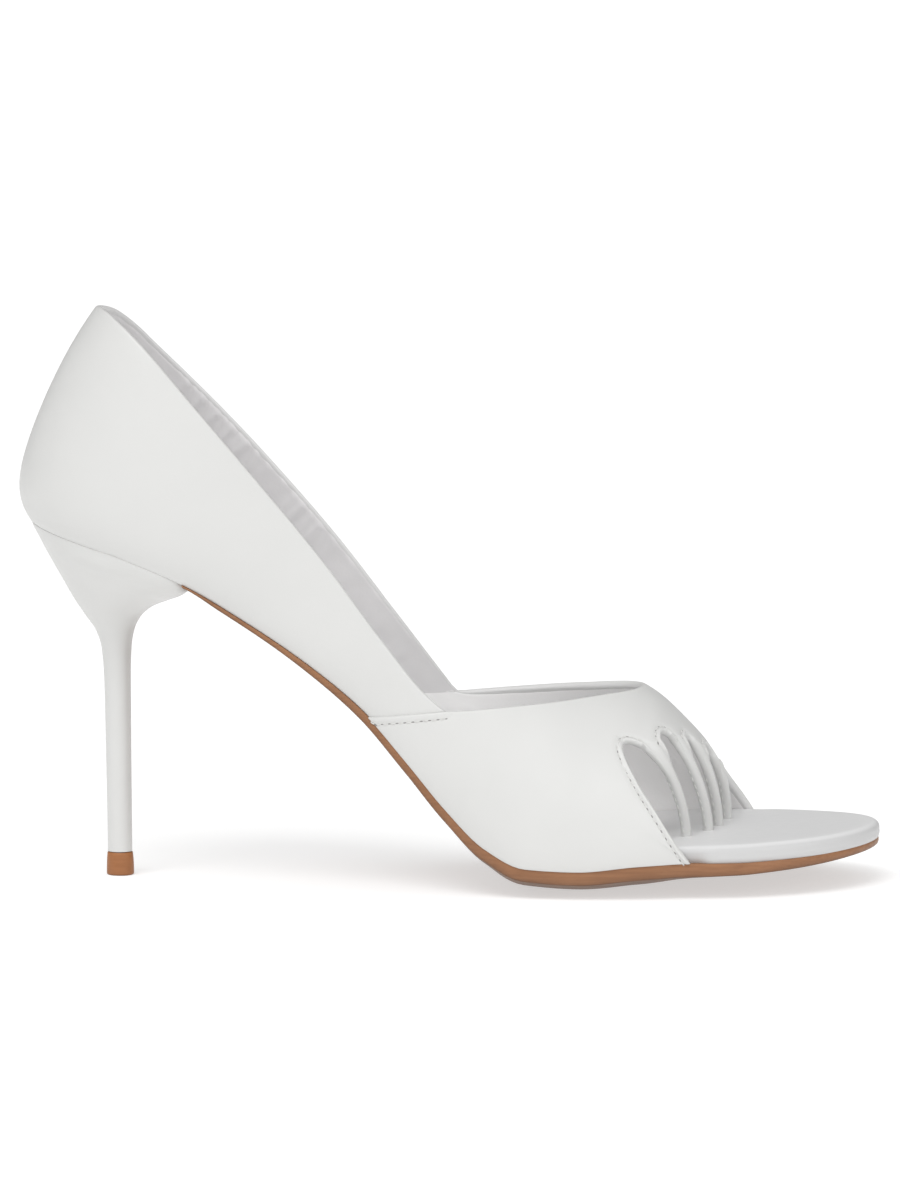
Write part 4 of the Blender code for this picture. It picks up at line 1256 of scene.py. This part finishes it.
def make_sole(material):
    """The tan leather sole: thin at the waist, full at the ball, its edge slightly rounded."""
    plan, inward, count = edge_loop(OUTSOLE_START - SOLE_TUCK, sole_inset)

    def edge_height(station):
        fuller = blend(0.0, SOLE_HEEL_REACH, station - OUTSOLE_START)
        thin = SOLE_HEEL_SHARE + (1.0 - SOLE_HEEL_SHARE) * fuller
        return OUTSOLE_SHAPE["edge"](station) * slope_stretch(station) * thin

    def top(points, share):
        return feather(points[..., 0]) - SOLE_GAP

    def ring(inset, down):
        points = plan + inward * inset
        height = top(points, None) - edge_height(points[:, 0]) * down
        return lifted(points, np.maximum(height, 0.0))

    def tread(points, share):
        station = points[..., 0]
        crown = OUTSOLE_SHAPE["crown"](station) * slope_stretch(station)
        crown = crown * (1.0 - np.abs(share) ** CROWN_POWER)
        return np.maximum(top(points, share) - edge_height(station) - crown, 0.0)

    rings = [ring(*step) for step in SOLE_STEPS]
    sheet = Sheet()
    sheet.join(sheet.rows(rings), closed=True, flip=True)
    cap(sheet, rings[0], count, top, 6, True)
    cap(sheet, rings[-1], count, tread, 28, False)
    make_piece("sole", sheet, [material], node="outsole", sharp=50.0)


# Heel

HALF_RING = RING_POINTS // 2
HALF_TURN = np.pi * np.arange(HALF_RING + 1) / HALF_RING
COSINE, SINE = np.cos(HALF_TURN), np.maximum(np.sin(HALF_TURN), 0.0)
REAR = HALF_TURN < np.pi / 2.0


def heel_ring(row):
    """A section of the heel, round from its back over the lateral side."""
    section = dict(zip(HEEL_COLUMNS, row))
    back, front = section["back_station"], section["front_station"]
    middle = back + (front - back) * HEEL_MIDDLE
    power = np.where(REAR, 1.0, 2.0 / section["squareness"])
    reach = np.where(REAR, middle - back, front - middle)
    station = middle - reach * np.sign(COSINE) * np.abs(COSINE) ** power
    climb = section["front_height"] - section["back_height"]
    height = section["back_height"] + (station - back) / (front - back) * climb
    side = -section["half_width"] * SINE ** power
    lateral = np.stack((station, side, height), -1)
    return np.concatenate((lateral, (lateral * (1.0, -1.0, 1.0))[-2:0:-1]))


def seat_ring(inset, down):
    """The top of the heel: the outline of the seat, close under the upper."""
    back = SEAT_CENTRE - SEAT_BACK_REACH * math.cos(SEAT_PITCH)
    square = 2.0 / HEEL_SECTIONS[0][5]
    along = np.abs(COSINE) ** np.where(REAR, 1.0, square)
    behind = SEAT_CENTRE - (SEAT_CENTRE - back - inset) * along
    station = np.where(REAR, behind, SEAT_CENTRE + (HEEL_BREAST - SEAT_CENTRE) * along)
    near, far = outline(np.maximum(station, back + 1e-9))
    corner = np.where(REAR, 1.0, SINE ** square)
    height = feather(station) - down
    lateral = np.stack((station, np.minimum(near + inset, 0.0) * corner, height), -1)
    medial = np.stack((station, np.maximum(far - inset, 0.0) * corner, height), -1)
    return np.concatenate((lateral, medial[-2:0:-1]))


def loft(name, rings, material, node, steps):
    """A smooth closed form through rings from its top to its foot."""
    rings = np.array(rings)
    lengths = np.linalg.norm(np.diff(rings, axis=0), axis=-1).mean(-1)
    run = np.concatenate(([0.0], np.cumsum(lengths)))
    fine = [np.linspace(a, b, steps + 1)[:-1] for a, b in zip(run, run[1:])] + [run[-1:]]
    sheet = Sheet()
    rows = sheet.rows(smooth_curve(run, rings)(np.concatenate(fine)))
    sheet.join(rows, closed=True)
    for row, flip in ((rows[0], True), (rows[-1], False)):
        near, far = row[: HALF_RING + 1], [row[0]] + row[HALF_RING:][::-1]
        for i in range(HALF_RING):
            corners = (near[i], near[i + 1], far[i + 1], far[i])
            sheet.face(corners if flip else corners[::-1])
    make_piece(name, sheet, [material], node=node, sharp=45.0)


def make_heel(cover, tip):
    rings = [seat_ring(*step) for step in SEAT_STEPS] + [heel_ring(row) for row in HEEL_SECTIONS]
    loft("heel_cover", rings, cover, "heel", 6)
    rings = [heel_ring(row) for row in TOP_PIECE_SECTIONS]
    loft("heel_tip", rings, tip, "top_piece", 4)


# Materials


def node_material(name, colour, roughness, coat=0.0, coat_roughness=0.3):
    """A Principled material with object coordinates, for the functions below to build on."""
    material = bpy.data.materials.new(name)
    material.use_nodes = True
    tree = material.node_tree
    shader = tree.nodes["Principled BSDF"]
    shader.inputs["Base Color"].default_value = (*colour, 1.0)
    shader.inputs["Roughness"].default_value = roughness
    shader.inputs["Coat Weight"].default_value = coat
    shader.inputs["Coat Roughness"].default_value = coat_roughness
    coords = tree.nodes.new("ShaderNodeTexCoord")
    return material, tree, shader, coords.outputs["Object"]


def add_node(tree, kind, links, constants, **settings):
    """A shader node with its settings, links into some inputs and constants on others."""
    node = tree.nodes.new("ShaderNode" + kind)
    for name, value in settings.items():
        setattr(node, name, value)
    for socket, value in constants.items():
        node.inputs[socket].default_value = value
    for socket, source in links.items():
        tree.links.new(source, node.inputs[socket])
    return node


def noise_node(tree, vector, scale, detail=3.0, roughness=0.55):
    constants = {"Scale": scale, "Detail": detail, "Roughness": roughness}
    return add_node(tree, "TexNoise", {"Vector": vector}, constants).outputs["Fac"]


def grain_node(tree, vector, scale):
    """The pebbles of a leather grain."""
    constants = {"Scale": scale, "Smoothness": 0.6}
    links = {"Vector": vector}
    return add_node(tree, "TexVoronoi", links, constants, feature="SMOOTH_F1").outputs["Distance"]


def ramp_node(tree, value, low, high, start=0.0, end=1.0):
    constants = {"From Min": low, "From Max": high, "To Min": start, "To Max": end}
    return add_node(tree, "MapRange", {"Value": value}, constants).outputs["Result"]


def colour_node(tree, value, first, second):
    constants = {6: (*first, 1.0), 7: (*second, 1.0)}
    return add_node(tree, "Mix", {"Factor": value}, constants, data_type="RGBA").outputs[2]


def bump_node(tree, height, strength, distance, normal=None):
    links = {"Height": height, "Normal": normal} if normal else {"Height": height}
    constants = {"Strength": strength, "Distance": distance}
    return add_node(tree, "Bump", links, constants).outputs["Normal"]


def stretched(tree, vector, scale):
    return add_node(tree, "Mapping", {"Vector": vector}, {"Scale": scale}).outputs["Vector"]


def facing_shade_mix(tree, first, second, start, end):
    """Painted shade: changes from one colour to another by how far the surface of the piece faces
    up.
    """
    normal = tree.nodes["Texture Coordinate"].outputs["Normal"]
    facing = add_node(tree, "SeparateXYZ", {"Vector": normal}, {})
    share = ramp_node(tree, facing.outputs["Z"], start, end)
    links = {"Factor": share, 6: first, 7: second}
    return add_node(tree, "Mix", links, {}, data_type="RGBA").outputs[2]


def leather(name, pale, dim, roughness, grain, grain_scale, coat, side=None):
    """Smooth leather: fine pebbles, faint pores, slow shifts of tone and gloss.

    A piece may have a darker tone on its sides than on its top: painted shade.
    """
    material, tree, shader, vector = node_material(name, pale, roughness, coat, 0.35)
    tone = ramp_node(tree, noise_node(tree, vector, TONE_SCALE), 0.35, 0.7)
    colour = colour_node(tree, tone, pale, dim)
    if side:
        # painted shade: the faces that turn to the side take the darker side tone
        colour = facing_shade_mix(tree, colour_node(tree, tone, side, side), colour, 0.55, 0.97)
    tree.links.new(colour, shader.inputs["Base Color"])
    clouds = noise_node(tree, vector, GLOSS_SCALE, 4.0)
    gloss = ramp_node(tree, clouds, 0.3, 0.7, roughness - 0.05, roughness + 0.07)
    tree.links.new(gloss, shader.inputs["Roughness"])
    pores = bump_node(tree, noise_node(tree, vector, PORE_SCALE, 2.0), grain * 0.5, PORE_DEPTH)
    pebbles = bump_node(tree, grain_node(tree, vector, grain_scale), grain, PEBBLE_DEPTH, pores)
    tree.links.new(pebbles, shader.inputs["Normal"])
    return material


def sole_leather(name, pale, dim):
    """Tan sole leather with long fibres and patches, with painted shade where it faces down."""
    material, tree, shader, vector = node_material(name, pale, 0.5, 0.1, 0.3)
    fibre = noise_node(tree, stretched(tree, vector, FIBRE_SCALES), 1.0, 5.0, 0.6)
    patches = noise_node(tree, vector, PATCH_SCALE, 3.0)
    mixed = add_node(tree, "Math", {0: fibre, 1: patches}, {}, operation="ADD")
    tone = ramp_node(tree, mixed.outputs[0], 0.75, 1.3)
    edge = colour_node(tree, tone, pale, dim)
    # painted shade: the tread is a copy of the same tones at about half brightness
    tread = colour_node(tree, tone, tuple(c * 0.5 for c in pale), tuple(c * 0.48 for c in dim))
    tree.links.new(facing_shade_mix(tree, edge, tread, 0.1, -0.7), shader.inputs["Base Color"])
    tree.links.new(ramp_node(tree, fibre, 0.3, 0.7, 0.42, 0.58), shader.inputs["Roughness"])
    tree.links.new(bump_node(tree, fibre, 0.25, FIBRE_DEPTH), shader.inputs["Normal"])
    return material


def thread_material(name, colour):
    """Sewing thread with its twist."""
    material, tree, shader, vector = node_material(name, colour, 0.6)
    twist = noise_node(tree, stretched(tree, vector, TWIST_SCALES), 1.0, 1.0)
    tree.links.new(bump_node(tree, twist, 0.4, TWIST_DEPTH), shader.inputs["Normal"])
    darker = tuple(c * 0.82 for c in colour)
    tree.links.new(colour_node(tree, twist, colour, darker), shader.inputs["Base Color"])
    return material


WHITE = leather(
    "white_leather", (0.677, 0.677, 0.664), (0.657, 0.657, 0.644), 0.43, 0.16, 1900.0, 0.12)
HEEL_WHITE = leather(
    "heel_leather", (0.675, 0.675, 0.662), (0.655, 0.655, 0.642), 0.4, 0.1, 2100.0, 0.14)
LINING = leather(
    "lining_leather", (0.72, 0.706, 0.709), (0.67, 0.656, 0.659), 0.55, 0.3, 1300.0, 0.0)
# The vamp's lining is a much brighter copy of the lining: painted light inside the toe.
BRIGHTENED_VAMP_LINING = leather(
    "vamp_lining_painted_light", (0.94, 0.93, 0.925), (0.905, 0.895, 0.89), 0.55, 0.3, 1300.0, 0.0)
FOLD = leather(
    "folded_edge", (0.69, 0.685, 0.68), (0.66, 0.655, 0.65), 0.45, 0.2, 1900.0, 0.08)
# The footbed's sides are painted darker than its top: painted shade on its rounded edge.
FOOTBED = leather(
    "footbed_leather", (0.77, 0.77, 0.77), (0.745, 0.745, 0.745), 0.45, 0.14, 2000.0, 0.08,
    side=(0.58, 0.58, 0.58))
SOLE = sole_leather("sole_leather", (0.325, 0.147, 0.063), (0.235, 0.102, 0.042))
TIP = sole_leather("tip_rubber", (0.385, 0.15, 0.048), (0.32, 0.122, 0.038))
THREAD = thread_material("thread", (0.72, 0.72, 0.70))
# The needle holes' dark colour is painted shade.
HOLE_SHADE = thread_material("needle_hole", (0.32, 0.315, 0.305))

make_upper(WHITE, FOLD)
make_lining(LINING, BRIGHTENED_VAMP_LINING)
make_stitches(THREAD, HOLE_SHADE)
make_footbed(FOOTBED)
make_sole(SOLE)
make_heel(HEEL_WHITE, TIP)


# Floor, light and camera


def make_floor():
    mesh = bpy.data.meshes.new("floor")
    corners = ((-1.0, -1.0), (1.0, -1.0), (1.0, 1.0), (-1.0, 1.0))
    corners = [(x * FLOOR_REACH, y * FLOOR_REACH, 0.0) for x, y in corners]
    mesh.from_pydata(corners, [], [(0, 1, 2, 3)])
    material = bpy.data.materials.new("floor")
    material.use_nodes = True
    shader = material.node_tree.nodes["Principled BSDF"]
    shader.inputs["Base Color"].default_value = (FLOOR_TONE, FLOOR_TONE, FLOOR_TONE, 1.0)
    shader.inputs["Roughness"].default_value = 0.9
    shader.inputs["Specular IOR Level"].default_value = 0.0
    shader.inputs["Emission Color"].default_value = (1.0, 1.0, 1.0, 1.0)
    shader.inputs["Emission Strength"].default_value = FLOOR_GLOW
    mesh.materials.append(material)
    floor = bpy.data.objects.new("floor", mesh)
    bpy.context.scene.collection.objects.link(floor)


def put(name, data, place, direction):
    """Links a light or camera at a place, turned to look in a direction."""
    obj = bpy.data.objects.new(name, data)
    obj.location = place
    obj.rotation_euler = direction.to_track_quat("-Z", "Y").to_euler()
    bpy.context.scene.collection.objects.link(obj)
    return obj


def make_light():
    """A white studio, brightest above the camera, with a broad sun and lights round the front."""
    sky = bpy.data.worlds.new("studio")
    sky.use_nodes = True
    tree = sky.node_tree
    background = tree.nodes["Background"]
    coords = tree.nodes.new("ShaderNodeTexCoord")
    links = {0: coords.outputs["Generated"]}
    towards = add_node(tree, "VectorMath", links, {1: SKY_FROM}, operation="DOT_PRODUCT")
    strength = ramp_node(tree, towards.outputs["Value"], *SKY_RANGE, SKY_LOW, SKY_HIGH)
    tree.links.new(strength, background.inputs["Strength"])
    background.inputs["Color"].default_value = (1.0, 1.0, 1.0, 1.0)
    bpy.context.scene.world = sky
    sun = bpy.data.lights.new("overhead", "SUN")
    sun.energy, sun.angle = SUN_STRENGTH, SUN_SPREAD
    put("overhead", sun, (0.0, 0.0, 0.0), -Vector(SUN_FROM))
    for name, (place, target, size, power) in LIGHTS.items():
        light = bpy.data.lights.new(name, "AREA")
        light.shape = "RECTANGLE"
        light.size, light.size_y = size
        light.energy = power
        put(name, light, place, Vector(target) - Vector(place))


def make_camera():
    camera = bpy.data.cameras.new("camera")
    camera.sensor_width = CAMERA_SENSOR
    camera.sensor_fit = "AUTO"
    camera.lens = CAMERA_LENS
    flat = math.cos(CAMERA_ELEVATION)
    aside, behind = math.sin(CAMERA_AZIMUTH) * flat, -math.cos(CAMERA_AZIMUTH) * flat
    back = Vector((aside, behind, math.sin(CAMERA_ELEVATION)))
    place = Vector(CAMERA_TARGET) + back * CAMERA_DISTANCE
    bpy.context.scene.camera = put("camera", camera, place, -back)


make_floor()
make_light()
make_camera()
bpy.context.scene.view_settings.view_transform = "Standard"
